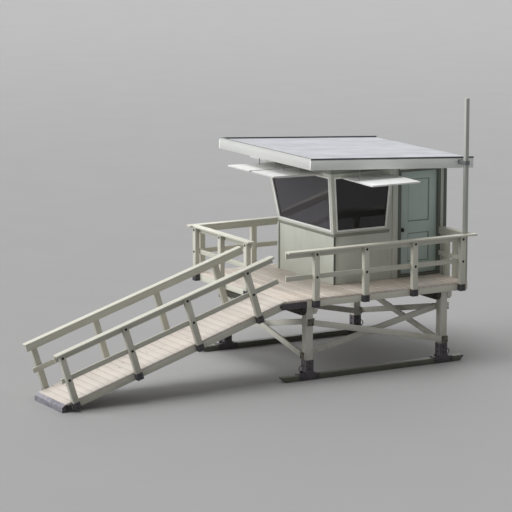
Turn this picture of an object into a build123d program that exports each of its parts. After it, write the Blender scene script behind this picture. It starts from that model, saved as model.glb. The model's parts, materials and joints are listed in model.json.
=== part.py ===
from build123d import *
import math
import os

# Beach lifeguard tower: a timber deck on four braced legs and two skids, a small cabin with
# leaning windows, a flat roof, a pole and a hinged access ramp. Millimetres, +Z up.
# The origin is under the near skid, midway between its two legs. The ramp runs down towards
# -X, the cabin door is in the wall that faces -Y (the "near" side), "far" is +Y, "rear" is +X.

# ---------------------------------------------------------------- driving dimensions
# Deck
deck_length = 4000
deck_width = 3460
deck_height = 1540          # top of the deck boards above the ground
board_t = 38
board_gap = 5
deck_board_count = 28
joist_h = 117
joist_t = 45
joist_inner_count = 6

# Legs, beams and braces
leg_side = 150
leg_end_inset = 508         # deck end to leg centre
near_leg_inset = 115        # deck edge to leg centre on the near side
far_leg_inset = 260         # deck edge to leg centre on the far side
beam_t = 90
beam_h = 150
beam_end_inset = 20
beam_end_chamfer = 60
brace_w = 110
brace_t = 38
brace_foot_rise = 350       # brace centre line above the foot of the leg it starts from
brace_head_drop = 138       # brace centre line below the cross beams at the other leg

# Skids and leg shoes
skid_w = 150
skid_h = 105
skid_front_past_deck = 70
skid_rear_short_of_deck = 35
skid_chamfer = 85
saddle_t = 10
saddle_length = 440
saddle_depth = 100
socket_t = 10
socket_h = 265

# Railings of deck and ramp
post_w = 110
post_t = 95
shoe_h = 130
shoe_t = 6
cap_t = 35
cap_overhang = 15
cap_top_z = 925             # top of the cap board above the walking surface
rail_board_t = 38
rail_board_h = 90
top_board_h = 100           # the top board stands right under the cap
mid_board_z = 415           # centre of the middle board above the walking surface
near_post_count = 4
near_first_post_inset = 590
near_last_post_inset = 170
near_rail_past_deck = 25
near_cap_past_deck = 140
back_post_count = 4
back_first_post_inset = 140
back_cap_past_deck = 160
back_last_post_inset = 390
front_post_count = 3
front_post_past_ramp = 263
front_rail_past_ramp = 120
front_last_post_inset = 71
rear_post_from_edge = 477
rear_post_from_cabin = 160

# Ramp, in its own frame: t runs down the slope from the hinge pin, n is square to it
ramp_angle = 17.4
pin_before_deck = 110
pin_below_deck = 90
pin_d = 32
pin_hole_d = 32.8
ramp_edge_clear = 5
ramp_width = 1125
ramp_board_end_t = -98
ramp_board_count = 33
stringer_t = 45
stringer_h = 110
stringer_end_t = -60
ramp_post_count = 4
ramp_first_post_t = 520
ramp_last_post_inset = 175
ramp_rail_end_t = -75
ramp_near_rail_foot_inset = 65
ramp_far_rail_foot_inset = 20
ramp_far_cap_overhang = 5
ramp_foot_short = 15        # the end of the stringers stays this far short of the ground
toe_reach = 70              # the nosing ahead of the last ramp board
toe_face_h = 95
hinge_plate_t = 12
hinge_plate_length = 423
hinge_end_r = 42
hinge_flange_w = 96
lug_gap = 8

# Cabin
wall_t = 95
rear_wall_t = 140
cabin_length = 2560
cabin_width = 2050
near_walk = 950             # deck edge to cabin wall on the near side
cabin_floor_t = 50
window_base_h = 910         # window base above the deck
window_rise = 1240
window_lean = 8.5
pier_w = 263                # wall between the side window and the door frame
frame_t = 60
mullion_side = 68
rail_bottom_h = 133
rail_top_h = 90
stile_w = 32
cheek_t = 40
glass_t = 10

# Door
door_w = 850
door_below_window_head = 100
door_leaf_t = 40
door_frame_w = 40
door_jamb_w = 50
door_clear = 7
door_stop = 12
hinge_count = 3
hinge_half_h = 50
hinge_leaf_t = 3
hinge_leaf_w = 52
knuckle_r = 7
door_pin_d = 8
door_bore_d = 8.6
hinge_axis_out = 8          # hinge axis beyond the inner face of the door
hinge_axis_side = 3         # hinge axis beyond the rear edge of the door
hinge_axial_gap = 0.5

# Roof, built flat and then tipped down towards the rear
roof_front_overhang = 930
roof_rear_overhang = 134
roof_side_overhang = 705
roof_above_window = 417     # top of the roof's front edge above the window head
roof_fall = 3.27
roof_deck_t = 45
fascia_h = 173
fascia_t = 38
soffit_t = 15
soffit_lift = 18            # soffit underside above the bottom of the fascia
rafter_t = 38
rafter_count = 7

# Shutters held out under the roof
shutter_t = 30
shutter_reach = 1060
front_shutter_hinge_drop = 30
side_shutter_hinge_drop = 85
shutter_edge_gap = 3.5
front_shutter_w = 820
front_shutter_gap = 95
front_shutter_inset = 122.5  # near cabin face to the near shutter
front_shutter_tilt = 1.0
side_shutter_front_inset = 68
side_shutter_rear_inset = 90
side_shutter_tilt = -1.0
hanger_d = 14
hanger_inset = 110
hanger_reach = 420

# Pole
pole_side = 75
pole_from_rear = 45
pole_from_edge = 40
pole_h = 3510
pole_clear = 5
bracket_h = 80
bracket_t = 12

# ---------------------------------------------------------------- derived levels and faces
deck_x0 = -deck_length / 2
deck_x1 = deck_length / 2
deck_y0 = -near_leg_inset
deck_y1 = deck_y0 + deck_width
joist_top = deck_height - board_t
joist_bottom = joist_top - joist_h
beam_bottom = joist_bottom - beam_h
leg_bottom = skid_h + saddle_t
leg_xs = (deck_x0 + leg_end_inset, deck_x1 - leg_end_inset)
leg_ys = (0, deck_y1 - far_leg_inset)
half_leg = leg_side / 2
brace_low_z = leg_bottom + brace_foot_rise
brace_high_z = beam_bottom - brace_head_drop
skid_front_x = deck_x0 - skid_front_past_deck
skid_rear_x = deck_x1 - skid_rear_short_of_deck

cabin_rear_x = deck_x1 + rear_wall_t
cabin_front_x = cabin_rear_x - cabin_length
cabin_near_y = deck_y0 + near_walk
cabin_far_y = cabin_near_y + cabin_width
floor_top = deck_height + cabin_floor_t
window_base_z = deck_height + window_base_h
window_head_z = window_base_z + window_rise
lean_out = window_rise * math.tan(math.radians(window_lean))
lean_slope = lean_out / window_rise
door_right_x = deck_x1 - door_jamb_w
door_left_x = door_right_x - door_w
frame_left_x = door_left_x - door_frame_w
bay_rear_x = frame_left_x - pier_w
door_top_z = window_head_z - door_below_window_head

pin_x = deck_x0 - pin_before_deck
pin_z = deck_height - pin_below_deck
ramp_near_y = deck_y0 + ramp_edge_clear
ramp_far_y = ramp_near_y + ramp_width
slope_sin = math.sin(math.radians(ramp_angle))
slope_cos = math.cos(math.radians(ramp_angle))
ramp_surface_n = 71         # walking surface of the ramp above the pin, square to the slope
stringer_top_n = ramp_surface_n - board_t
stringer_bottom_n = stringer_top_n - stringer_h
ramp_foot_t = (pin_z + stringer_bottom_n * slope_cos) / slope_sin - ramp_foot_short

roof_front_x = cabin_front_x - roof_front_overhang
roof_near_y = cabin_near_y - roof_side_overhang
roof_width = cabin_width + 2 * roof_side_overhang
roof_run = roof_front_overhang + cabin_length + roof_rear_overhang
roof_length = roof_run / math.cos(math.radians(roof_fall))
roof_top_front_z = window_head_z + roof_above_window

os.makedirs("parts", exist_ok=True)


def block(x0, x1, y0, y1, z0, z1):
    """A plain box between two corners."""
    size = (x1 - x0, y1 - y0, z1 - z0)
    return Pos((x0 + x1) / 2, (y0 + y1) / 2, (z0 + z1) / 2) * Box(*size)


def prism(points, direction, amount):
    """A flat outline given by its corners, pushed straight along a direction."""
    outline = make_face(Polyline(*points, close=True))
    return extrude(outline, amount=amount, dir=direction)


def save(name, *solids):
    """Write one node, whose solids do not touch each other."""
    flat = []
    for item in solids:
        flat.extend(item.solids())
    shape = flat[0] if len(flat) == 1 else Compound(children=flat)
    export_step(shape, f"parts/{name}.step")


def on_ramp(solid):
    """Place a solid drawn level around the pin, its +X pointing up the slope."""
    return Pos(pin_x, 0, pin_z) * Rot(0, -ramp_angle, 0) * solid


def ramp_block(t0, t1, y0, y1, n0, n1):
    return on_ramp(block(-t1, -t0, y0, y1, n0, n1))


def on_roof(solid):
    """Place a solid drawn with its top front edge at the origin."""
    return Pos(roof_front_x, 0, roof_top_front_z) * Rot(0, roof_fall, 0) * solid


# ---------------------------------------------------------------- skids, shoes and legs
def skid(y):
    y0 = y - skid_w / 2
    corners = [
        (skid_front_x + skid_chamfer, y0, 0),
        (skid_rear_x - skid_chamfer, y0, 0),
        (skid_rear_x, y0, skid_chamfer),
        (skid_rear_x, y0, skid_h),
        (skid_front_x, y0, skid_h),
        (skid_front_x, y0, skid_chamfer),
    ]
    return prism(corners, (0, 1, 0), skid_w)


def leg_shoe(x, y):
    half_w = skid_w / 2 + saddle_t
    half_l = saddle_length / 2
    saddle = block(x - half_l, x + half_l, y - half_w, y + half_w, skid_h - saddle_depth, leg_bottom)
    saddle -= block(x - half_l, x + half_l, y - skid_w / 2, y + skid_w / 2, 0, skid_h)
    outer = half_leg + socket_t
    socket = block(x - outer, x + outer, y - outer, y + outer, leg_bottom, leg_bottom + socket_h)
    socket -= block(x - half_leg, x + half_leg, y - half_leg, y + half_leg, leg_bottom, deck_height)
    return saddle + socket


def leg(x, y):
    return block(x - half_leg, x + half_leg, y - half_leg, y + half_leg, leg_bottom, joist_bottom)


save("skids", *[skid(y) for y in leg_ys])
save("leg_shoes", *[leg_shoe(x, y) for x in leg_xs for y in leg_ys])
save("legs", *[leg(x, y) for x in leg_xs for y in leg_ys])


# ---------------------------------------------------------------- cross beams and braces
def cross_beam(x0):
    y0 = deck_y0 + beam_end_inset
    y1 = deck_y1 - beam_end_inset
    corners = [
        (x0, y0, joist_bottom),
        (x0, y0, beam_bottom + beam_end_chamfer),
        (x0, y0 + beam_end_chamfer, beam_bottom),
        (x0, y1 - beam_end_chamfer, beam_bottom),
        (x0, y1, beam_bottom + beam_end_chamfer),
        (x0, y1, joist_bottom),
    ]
    return prism(corners, (1, 0, 0), beam_t)


beam_starts = []
for leg_x in leg_xs:
    beam_starts.append(leg_x - half_leg - beam_t)
    beam_starts.append(leg_x + half_leg)
save("cross_beams", *[cross_beam(x0) for x0 in beam_starts])


def brace(a0, a1, rises, face, out, along_x):
    """One diagonal board between two legs, its ends cut plumb at the outer leg faces.

    a0, a1: outer limits of the leg pair along the run, face: the leg face it lies on,
    out: +1 or -1, the side of that face the board is on.
    """
    low_c = a0 + half_leg if rises else a1 - half_leg
    high_c = a1 - half_leg if rises else a0 + half_leg
    slope = (brace_high_z - brace_low_z) / (high_c - low_c)
    half_v = brace_w / 2 * math.sqrt(1 + slope * slope)
    corners = []
    for a, side in ((a0, -1), (a1, -1), (a1, 1), (a0, 1)):
        z = brace_low_z + slope * (a - low_c) + side * half_v
        corners.append((a, face, z) if along_x else (face, a, z))
    direction = (0, out, 0) if along_x else (out, 0, 0)
    return prism(corners, direction, brace_t)


x_lo = leg_xs[0] - half_leg
x_hi = leg_xs[1] + half_leg
y_lo = leg_ys[0] - half_leg
y_hi = leg_ys[1] + half_leg
save(
    "outer_braces",
    brace(x_lo, x_hi, False, y_lo, -1, True),
    brace(y_lo, y_hi, True, x_lo, -1, False),
    brace(x_lo, x_hi, True, y_hi, 1, True),
    brace(y_lo, y_hi, False, x_hi, 1, False),
)
save(
    "inner_braces",
    brace(x_lo, x_hi, True, y_lo + leg_side, 1, True),
    brace(y_lo, y_hi, False, x_lo + leg_side, 1, False),
    brace(x_lo, x_hi, False, y_hi - leg_side, -1, True),
    brace(y_lo, y_hi, True, x_hi - leg_side, -1, False),
)

# ---------------------------------------------------------------- deck frame and boards
near_rim = block(deck_x0, deck_x1, deck_y0, deck_y0 + joist_t, joist_bottom, joist_top)
far_rim = block(deck_x0, deck_x1, deck_y1 - joist_t, deck_y1, joist_bottom, joist_top)
save("side_joists", near_rim, far_rim)
inner_y0 = deck_y0 + joist_t
inner_y1 = deck_y1 - joist_t
front_rim = block(deck_x0, deck_x0 + joist_t, inner_y0, inner_y1, joist_bottom, joist_top)
rear_rim = block(deck_x1 - joist_t, deck_x1, inner_y0, inner_y1, joist_bottom, joist_top)
save("end_joists", front_rim, rear_rim)

inner_joists = []
inner_pitch = (deck_width - joist_t) / (joist_inner_count + 1)
for i in range(joist_inner_count):
    y = deck_y0 + joist_t / 2 + inner_pitch * (i + 1)
    inner_joists.append(
        block(deck_x0 + joist_t, deck_x1 - joist_t, y - joist_t / 2, y + joist_t / 2, joist_bottom, joist_top)
    )
save("inner_joists", *inner_joists)

deck_boards = []
deck_pitch = (deck_length + board_gap) / deck_board_count
for i in range(deck_board_count):
    x = deck_x0 + deck_pitch * i
    deck_boards.append(block(x, x + deck_pitch - board_gap, deck_y0, deck_y1, joist_top, deck_height))
save("deck_boards", *deck_boards)

# ---------------------------------------------------------------- deck railings
cap_top = deck_height + cap_top_z
cap_bottom = cap_top - cap_t
near_outer_y = deck_y0 - post_t
far_outer_y = deck_y1 + post_t
front_outer_x = deck_x0 - post_t
rear_outer_x = deck_x1 + post_t


# Lower and upper edges of the two rail boards above the walking surface
board_spans = (
    (cap_top_z - cap_t - top_board_h, cap_top_z - cap_t),
    (mid_board_z - rail_board_h / 2, mid_board_z + rail_board_h / 2),
)

def spread(first, last, count):
    """Evenly spaced centres from the first to the last."""
    return [first + (last - first) * i / (count - 1) for i in range(count)]


near_xs = spread(deck_x0 + near_first_post_inset, deck_x1 - near_last_post_inset, near_post_count)
back_xs = spread(deck_x0 + back_first_post_inset, deck_x1 - back_last_post_inset, back_post_count)
front_ys = spread(ramp_far_y + front_post_past_ramp, deck_y1 - front_last_post_inset, front_post_count)
rear_ys = (deck_y0 + rear_post_from_edge, cabin_near_y - rear_post_from_cabin)
near_rail_front_x = deck_x0 - near_rail_past_deck
near_cap_rear_x = deck_x1 + near_cap_past_deck
front_rail_near_y = ramp_far_y + front_rail_past_ramp


def side_post(x, y0, y1):
    return block(x - post_w / 2, x + post_w / 2, y0, y1, joist_bottom, cap_bottom)


def end_post(y, x0, x1):
    return block(x0, x1, y - post_w / 2, y + post_w / 2, joist_bottom, cap_bottom)


save("near_rail_posts", *[side_post(x, near_outer_y, deck_y0) for x in near_xs])
save("back_rail_posts", *[side_post(x, deck_y1, far_outer_y) for x in back_xs])
save("front_rail_posts", *[end_post(y, front_outer_x, deck_x0) for y in front_ys])

# The pole stands in the near rear corner, inside the rails
half_pole = pole_side / 2
pole_x = deck_x1 - pole_from_rear
pole_y = deck_y0 + pole_from_edge
pole_top_z = deck_height + pole_h
pole = block(
    pole_x - half_pole, pole_x + half_pole, pole_y - half_pole, pole_y + half_pole, deck_height, pole_top_z
)
save("pole", pole)
near_board_rear_x = pole_x - half_pole - pole_clear
rear_board_near_y = pole_y + half_pole + pole_clear

near_y_in = deck_y0 + rail_board_t
near_cap = block(
    near_rail_front_x, near_cap_rear_x, near_outer_y - cap_overhang, near_y_in, cap_bottom, cap_top
)
near_cap -= block(near_board_rear_x, near_cap_rear_x, deck_y0, near_y_in, cap_bottom, cap_top)
near_boards = []
back_boards = []
front_boards = []
rear_boards = []
rear_far_boards = []
for span in board_spans:
    z0 = deck_height + span[0]
    z1 = deck_height + span[1]
    near_boards.append(block(near_rail_front_x, near_board_rear_x, deck_y0, near_y_in, z0, z1))
    back_boards.append(block(deck_x0, deck_x1, deck_y1 - rail_board_t, deck_y1, z0, z1))
    front_boards.append(
        block(deck_x0, deck_x0 + rail_board_t, front_rail_near_y, deck_y1 - rail_board_t, z0, z1)
    )
    rear_boards.append(block(deck_x1 - rail_board_t, deck_x1, rear_board_near_y, cabin_near_y, z0, z1))
    rear_far_boards.append(
        block(deck_x1 - rail_board_t, deck_x1, cabin_far_y, deck_y1 - rail_board_t, z0, z1)
    )
save("near_rail", near_cap + near_boards[0], near_boards[1])
back_cap = block(
    deck_x0 - back_cap_past_deck, rear_outer_x + cap_overhang,
    deck_y1 - rail_board_t, far_outer_y + cap_overhang, cap_bottom, cap_top,
)
save("back_rail", back_cap + back_boards[0], back_boards[1])
front_cap = block(
    front_outer_x - cap_overhang, deck_x0 + rail_board_t,
    front_rail_near_y, deck_y1 - rail_board_t, cap_bottom, cap_top,
)
save("front_rail", front_cap + front_boards[0], front_boards[1])
rear_cap = block(
    deck_x1 - rail_board_t, rear_outer_x + cap_overhang, rear_board_near_y, cabin_near_y, cap_bottom, cap_top
)
rear_far_post = end_post(deck_y1 - post_w / 2, deck_x1, rear_outer_x)
rear_far_cap = block(
    deck_x1 - rail_board_t, rear_outer_x + cap_overhang,
    cabin_far_y, deck_y1 - rail_board_t, cap_bottom, cap_top,
)
rear_rail = rear_cap + rear_boards[0] + rear_boards[1]
for y in rear_ys:
    rear_rail += end_post(y, deck_x1, rear_outer_x)
save("rear_rail", rear_rail)
save("rear_far_rail", rear_far_post + rear_far_cap + rear_far_boards[0] + rear_far_boards[1])


# ---------------------------------------------------------------- steel shoes of the deck posts
def strap(x0, x1, y0, y1, keep_out):
    """A steel wrap round the foot of a post, open on the side of the joist."""
    ring = block(x0 - shoe_t, x1 + shoe_t, y0 - shoe_t, y1 + shoe_t, joist_bottom, joist_bottom + shoe_h)
    ring -= block(x0, x1, y0, y1, joist_bottom, joist_bottom + shoe_h)
    return ring - keep_out


deck_space = block(deck_x0, deck_x1, deck_y0, deck_y1, 0, cap_top)
shoes = []
for x in near_xs:
    shoes.append(strap(x - post_w / 2, x + post_w / 2, near_outer_y, deck_y0, deck_space))
for x in back_xs:
    shoes.append(strap(x - post_w / 2, x + post_w / 2, deck_y1, far_outer_y, deck_space))
for y in front_ys:
    shoes.append(strap(front_outer_x, deck_x0, y - post_w / 2, y + post_w / 2, deck_space))
for y in rear_ys:
    shoes.append(strap(deck_x1, rear_outer_x, y - post_w / 2, y + post_w / 2, deck_space))
save("rail_post_shoes", *shoes)


# ---------------------------------------------------------------- ramp hinge, fixed to the deck
def rod(x, y0, y1, z, d):
    return Pos(x, (y0 + y1) / 2, z) * Rot(90, 0, 0) * Cylinder(d / 2, y1 - y0)


def hinge_lug(y0, y1, rear_x):
    plate = block(pin_x, rear_x, y0, y1, joist_bottom, joist_top)
    return plate + rod(pin_x, y0, y1, pin_z, 2 * hinge_end_r)


near_lug_y = deck_y0 - hinge_plate_t
far_lug_y = ramp_far_y + lug_gap
far_lug = hinge_lug(far_lug_y, far_lug_y + hinge_plate_t, deck_x0)
far_lug += block(
    deck_x0 - hinge_plate_t, deck_x0, far_lug_y, far_lug_y + hinge_flange_w, joist_bottom, joist_top
)
hinge = hinge_lug(near_lug_y, deck_y0, deck_x0 + hinge_plate_length) + far_lug
hinge += rod(pin_x, near_lug_y - hinge_plate_t, far_lug_y + 2 * hinge_plate_t, pin_z, pin_d)
save("ramp_hinge", hinge)


# ---------------------------------------------------------------- ramp
def stringer(y0):
    beam = ramp_block(stringer_end_t, ramp_foot_t, y0, y0 + stringer_t, stringer_bottom_n, stringer_top_n)
    return beam - rod(pin_x, y0 - 1, y0 + stringer_t + 1, pin_z, pin_hole_d)


save("ramp_near_stringer", stringer(ramp_near_y))
save("ramp_far_stringer", stringer(ramp_far_y - stringer_t))

ramp_boards = []
ramp_pitch = (ramp_foot_t - ramp_board_end_t + board_gap) / ramp_board_count
for i in range(ramp_board_count):
    t = ramp_board_end_t + ramp_pitch * i
    ramp_boards.append(
        ramp_block(t, t + ramp_pitch - board_gap, ramp_near_y, ramp_far_y, stringer_top_n, ramp_surface_n)
    )
save("ramp_boards", *ramp_boards)

toe_top_x = pin_x - ramp_foot_t * slope_cos - ramp_surface_n * slope_sin
toe_top_z = pin_z - ramp_foot_t * slope_sin + ramp_surface_n * slope_cos
toe_end_x = pin_x - ramp_foot_t * slope_cos - stringer_bottom_n * slope_sin
toe_end_z = pin_z - ramp_foot_t * slope_sin + stringer_bottom_n * slope_cos
toe_corners = [
    (toe_top_x, ramp_near_y, toe_top_z),
    (toe_top_x - toe_reach, ramp_near_y, toe_face_h),
    (toe_top_x - toe_reach, ramp_near_y, 0),
    (toe_end_x, ramp_near_y, 0),
    (toe_end_x, ramp_near_y, toe_end_z),
]
save("ramp_nosing", prism(toe_corners, (0, 1, 0), ramp_width))

ramp_cap_n = ramp_surface_n + cap_top_z - cap_t
ramp_post_ts = spread(ramp_first_post_t, ramp_foot_t - ramp_last_post_inset, ramp_post_count)


def ramp_side(y_in, y_out, y_board, y_cap, foot_t):
    """Posts, boards and cap of one ramp rail, from the stringer face outwards."""
    posts = []
    for t in ramp_post_ts:
        posts.append(
            ramp_block(
                t - post_w / 2, t + post_w / 2, min(y_in, y_out), max(y_in, y_out),
                stringer_bottom_n, ramp_cap_n,
            )
        )
    boards = []
    for span in board_spans:
        n0 = ramp_surface_n + span[0]
        n1 = ramp_surface_n + span[1]
        boards.append(
            ramp_block(ramp_rail_end_t, foot_t, min(y_in, y_board), max(y_in, y_board), n0, n1)
        )
    cap = ramp_block(
        ramp_rail_end_t, foot_t, min(y_board, y_cap), max(y_board, y_cap),
        ramp_cap_n, ramp_cap_n + cap_t,
    )
    return posts, boards, cap


def ramp_strap(t, y0, y1, open_y0, open_y1):
    ring = ramp_block(
        t - post_w / 2 - shoe_t, t + post_w / 2 + shoe_t, y0 - shoe_t, y1 + shoe_t,
        stringer_bottom_n, stringer_bottom_n + shoe_h,
    )
    ring -= ramp_block(t - post_w / 2, t + post_w / 2, y0, y1, -deck_height, deck_height)
    return ring - ramp_block(0, ramp_foot_t, open_y0, open_y1, -deck_height, deck_height)


near_posts, near_ramp_boards, near_ramp_cap = ramp_side(
    ramp_near_y, ramp_near_y - post_t, ramp_near_y + rail_board_t, ramp_near_y - post_t - cap_overhang,
    ramp_foot_t - ramp_near_rail_foot_inset,
)
far_posts, far_ramp_boards, far_ramp_cap = ramp_side(
    ramp_far_y, ramp_far_y + post_t, ramp_far_y - rail_board_t, ramp_far_y + post_t + ramp_far_cap_overhang,
    ramp_foot_t - ramp_far_rail_foot_inset,
)
save("ramp_near_posts", *near_posts)
save("ramp_far_posts", *far_posts)
save("ramp_near_rail", near_ramp_cap + near_ramp_boards[0], near_ramp_boards[1])
save("ramp_far_rail", far_ramp_cap + far_ramp_boards[0], far_ramp_boards[1])
ramp_shoes = []
for t in ramp_post_ts:
    ramp_shoes.append(ramp_strap(t, ramp_near_y - post_t, ramp_near_y, ramp_near_y, ramp_far_y))
    ramp_shoes.append(ramp_strap(t, ramp_far_y, ramp_far_y + post_t, ramp_near_y, ramp_far_y))
save("ramp_post_shoes", *ramp_shoes)

# ---------------------------------------------------------------- cabin walls
roof_space = on_roof(
    block(-roof_length, 2 * roof_length, -roof_width, 2 * roof_width,
          -roof_deck_t - fascia_h + soffit_lift, roof_length)
)
above = roof_top_front_z
front_inner_x = cabin_front_x + wall_t
near_inner_y = cabin_near_y + wall_t
far_inner_y = cabin_far_y - wall_t

save(
    "cabin_floor",
    block(front_inner_x, deck_x1, near_inner_y, far_inner_y, deck_height, floor_top),
)
save(
    "front_wall",
    block(cabin_front_x, front_inner_x, cabin_near_y, cabin_far_y, deck_height, window_base_z),
)
save(
    "near_wall",
    block(front_inner_x, bay_rear_x, cabin_near_y, near_inner_y, deck_height, window_base_z),
)
pier = block(bay_rear_x, frame_left_x, cabin_near_y, near_inner_y, deck_height, above) - roof_space
save("door_pier", pier)
head_z = door_top_z + door_frame_w
over_door = block(frame_left_x, deck_x1, cabin_near_y, near_inner_y, head_z, above) - roof_space
save("over_door", over_door)
far_wall = block(front_inner_x, bay_rear_x, far_inner_y, cabin_far_y, deck_height, window_base_z)
far_wall += block(bay_rear_x, deck_x1, far_inner_y, cabin_far_y, deck_height, above)
save("far_wall", far_wall - roof_space)
rear_wall = block(deck_x1, cabin_rear_x, cabin_near_y, cabin_far_y, joist_bottom, above) - roof_space
save("rear_wall", rear_wall)

# ---------------------------------------------------------------- leaning windows
hip_length = math.sqrt(window_rise**2 + 2 * lean_out**2)


def corner_post(y_side):
    """Leaning post under a hip, y_side is -1 for the near corner and +1 for the far one."""
    y0 = cabin_near_y if y_side < 0 else cabin_far_y
    y1 = y0 - y_side * mullion_side
    x0 = cabin_front_x
    x1 = cabin_front_x + mullion_side
    corners = []
    for x, y in ((x0, y0), (x1, y0), (x1, y1), (x0, y1)):
        corners.append((x, y, window_base_z))
    return prism(corners, (-lean_out, y_side * lean_out, window_rise), hip_length)


save("window_corner_posts", corner_post(-1), corner_post(1))


def side_panel(y_side, inset_front, inset_rear, z0, z1, depth0, depth):
    """A leaning panel of a side window, drawn on its outer face and pushed inwards."""
    face_y = cabin_near_y if y_side < 0 else cabin_far_y
    corners = []
    for z, end in ((z0, 0), (z0, 1), (z1, 1), (z1, 0)):
        out = (z - window_base_z) * lean_slope
        x = bay_rear_x - cheek_t - inset_rear if end else cabin_front_x + mullion_side - out + inset_front
        corners.append((x, face_y + y_side * out - y_side * depth0, z))
    return prism(corners, (0, -y_side, 0), depth)


def front_panel(inset, z0, z1, depth0, depth):
    corners = []
    for z, end in ((z0, 0), (z0, 1), (z1, 1), (z1, 0)):
        out = (z - window_base_z) * lean_slope
        y_near = cabin_near_y + mullion_side - out + inset
        y_far = cabin_far_y - mullion_side + out - inset
        corners.append((cabin_front_x - out + depth0, y_far if end else y_near, z))
    return prism(corners, (1, 0, 0), depth)


glass_z0 = window_base_z + rail_bottom_h
glass_z1 = window_head_z - rail_top_h
glass_in = (frame_t - glass_t) / 2
front_frame = front_panel(0, window_base_z, window_head_z, 0, frame_t)
front_frame -= front_panel(stile_w, glass_z0, glass_z1, 0, frame_t)
save("front_window_frame", front_frame)
for name, y_side in (("near", -1), ("far", 1)):
    frame = side_panel(y_side, 0, 0, window_base_z, window_head_z, 0, frame_t)
    frame -= side_panel(y_side, stile_w, stile_w, glass_z0, glass_z1, 0, frame_t)
    save(f"{name}_window_frame", frame)
save("front_glass", front_panel(stile_w, glass_z0, glass_z1, glass_in, glass_t))
save(
    "side_glass",
    side_panel(-1, stile_w, stile_w, glass_z0, glass_z1, glass_in, glass_t),
    side_panel(1, stile_w, stile_w, glass_z0, glass_z1, glass_in, glass_t),
)


def cheek(y_side):
    """Upright board that closes the end of a leaning side window."""
    face_y = cabin_near_y if y_side < 0 else cabin_far_y
    x0 = bay_rear_x - cheek_t
    corners = [
        (x0, face_y - y_side * frame_t, window_base_z),
        (x0, face_y, window_base_z),
        (x0, face_y + y_side * lean_out, window_head_z),
        (x0, face_y - y_side * frame_t, window_head_z),
    ]
    return prism(corners, (1, 0, 0), cheek_t)


save("window_cheeks", cheek(-1), cheek(1))

header_x0 = cabin_front_x - lean_out
header_y0 = cabin_near_y - lean_out
header_y1 = cabin_far_y + lean_out
front_header = block(header_x0, header_x0 + frame_t, header_y0, header_y1, window_head_z, above)
near_header = block(header_x0 + frame_t, bay_rear_x, header_y0, header_y0 + frame_t, window_head_z, above)
far_header = block(header_x0 + frame_t, bay_rear_x, header_y1 - frame_t, header_y1, window_head_z, above)
near_return = block(bay_rear_x - cheek_t, bay_rear_x, header_y0 + frame_t, near_inner_y, window_head_z, above)
far_return = block(bay_rear_x - cheek_t, bay_rear_x, far_inner_y, header_y1 - frame_t, window_head_z, above)
save("front_header", front_header - roof_space)
save("near_header", (near_header + near_return) - roof_space)
save("far_header", (far_header + far_return) - roof_space)

# ---------------------------------------------------------------- door
jamb_y0 = cabin_near_y
jamb_y1 = near_inner_y
door_frame = block(frame_left_x, door_left_x, jamb_y0, jamb_y1, floor_top, door_top_z)
door_frame += block(door_right_x, deck_x1, jamb_y0, jamb_y1, floor_top, door_top_z)
door_frame += block(frame_left_x, deck_x1, jamb_y0, jamb_y1, door_top_z, head_z)
door_frame += block(frame_left_x, deck_x1, jamb_y0, jamb_y1, deck_height, floor_top)
stop_y1 = jamb_y1 - door_leaf_t - door_clear
stop_y0 = stop_y1 - door_stop
door_frame += block(door_left_x, door_left_x + door_stop, stop_y0, stop_y1, floor_top, door_top_z)
door_frame += block(door_right_x - door_stop, door_right_x, stop_y0, stop_y1, floor_top, door_top_z)
door_frame += block(door_left_x, door_right_x, stop_y0, stop_y1, door_top_z - door_stop, door_top_z)
save("door_frame", door_frame)

leaf_x0 = door_left_x + door_clear
leaf_x1 = door_right_x - door_clear
leaf_z0 = floor_top + door_clear
leaf_z1 = door_top_z - door_clear
door_leaf = block(leaf_x0, leaf_x1, jamb_y1 - door_leaf_t, jamb_y1, leaf_z0, leaf_z1)

# Butt hinges on the inner face: the lower half of each is on the door, the upper half and
# the pin are on the jamb.
axis_x = leaf_x1 + hinge_axis_side
axis_y = jamb_y1 + hinge_axis_out


def knuckle(z0, z1, flap_x0, flap_x1):
    """A knuckle round the hinge axis with its flap, which lies on the inner face."""
    barrel = Pos(axis_x, axis_y, (z0 + z1) / 2) * Cylinder(knuckle_r, z1 - z0)
    flap = block(flap_x0, flap_x1, jamb_y1, jamb_y1 + hinge_leaf_t, z0, z1)
    arm = block(axis_x - hinge_leaf_t / 2, axis_x + hinge_leaf_t / 2, jamb_y1, axis_y, z0, z1)
    return barrel + flap + arm


jamb_hinges = []
hinge_zs = spread(leaf_z0 + 4 * hinge_half_h, leaf_z1 - 4 * hinge_half_h, hinge_count)
for z in hinge_zs:
    upper = knuckle(z + hinge_axial_gap, z + hinge_half_h, axis_x, axis_x + hinge_leaf_w)
    pin = Pos(axis_x, axis_y, z) * Cylinder(door_pin_d / 2, 2 * hinge_half_h)
    jamb_hinges.append(upper + pin)
    lower = knuckle(z - hinge_half_h, z - hinge_axial_gap, axis_x - hinge_leaf_w, axis_x)
    door_leaf += lower - Pos(axis_x, axis_y, z) * Cylinder(door_bore_d / 2, 2 * hinge_half_h + 2)
save("door_hinges", *jamb_hinges)
save("door_leaf", door_leaf)

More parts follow.
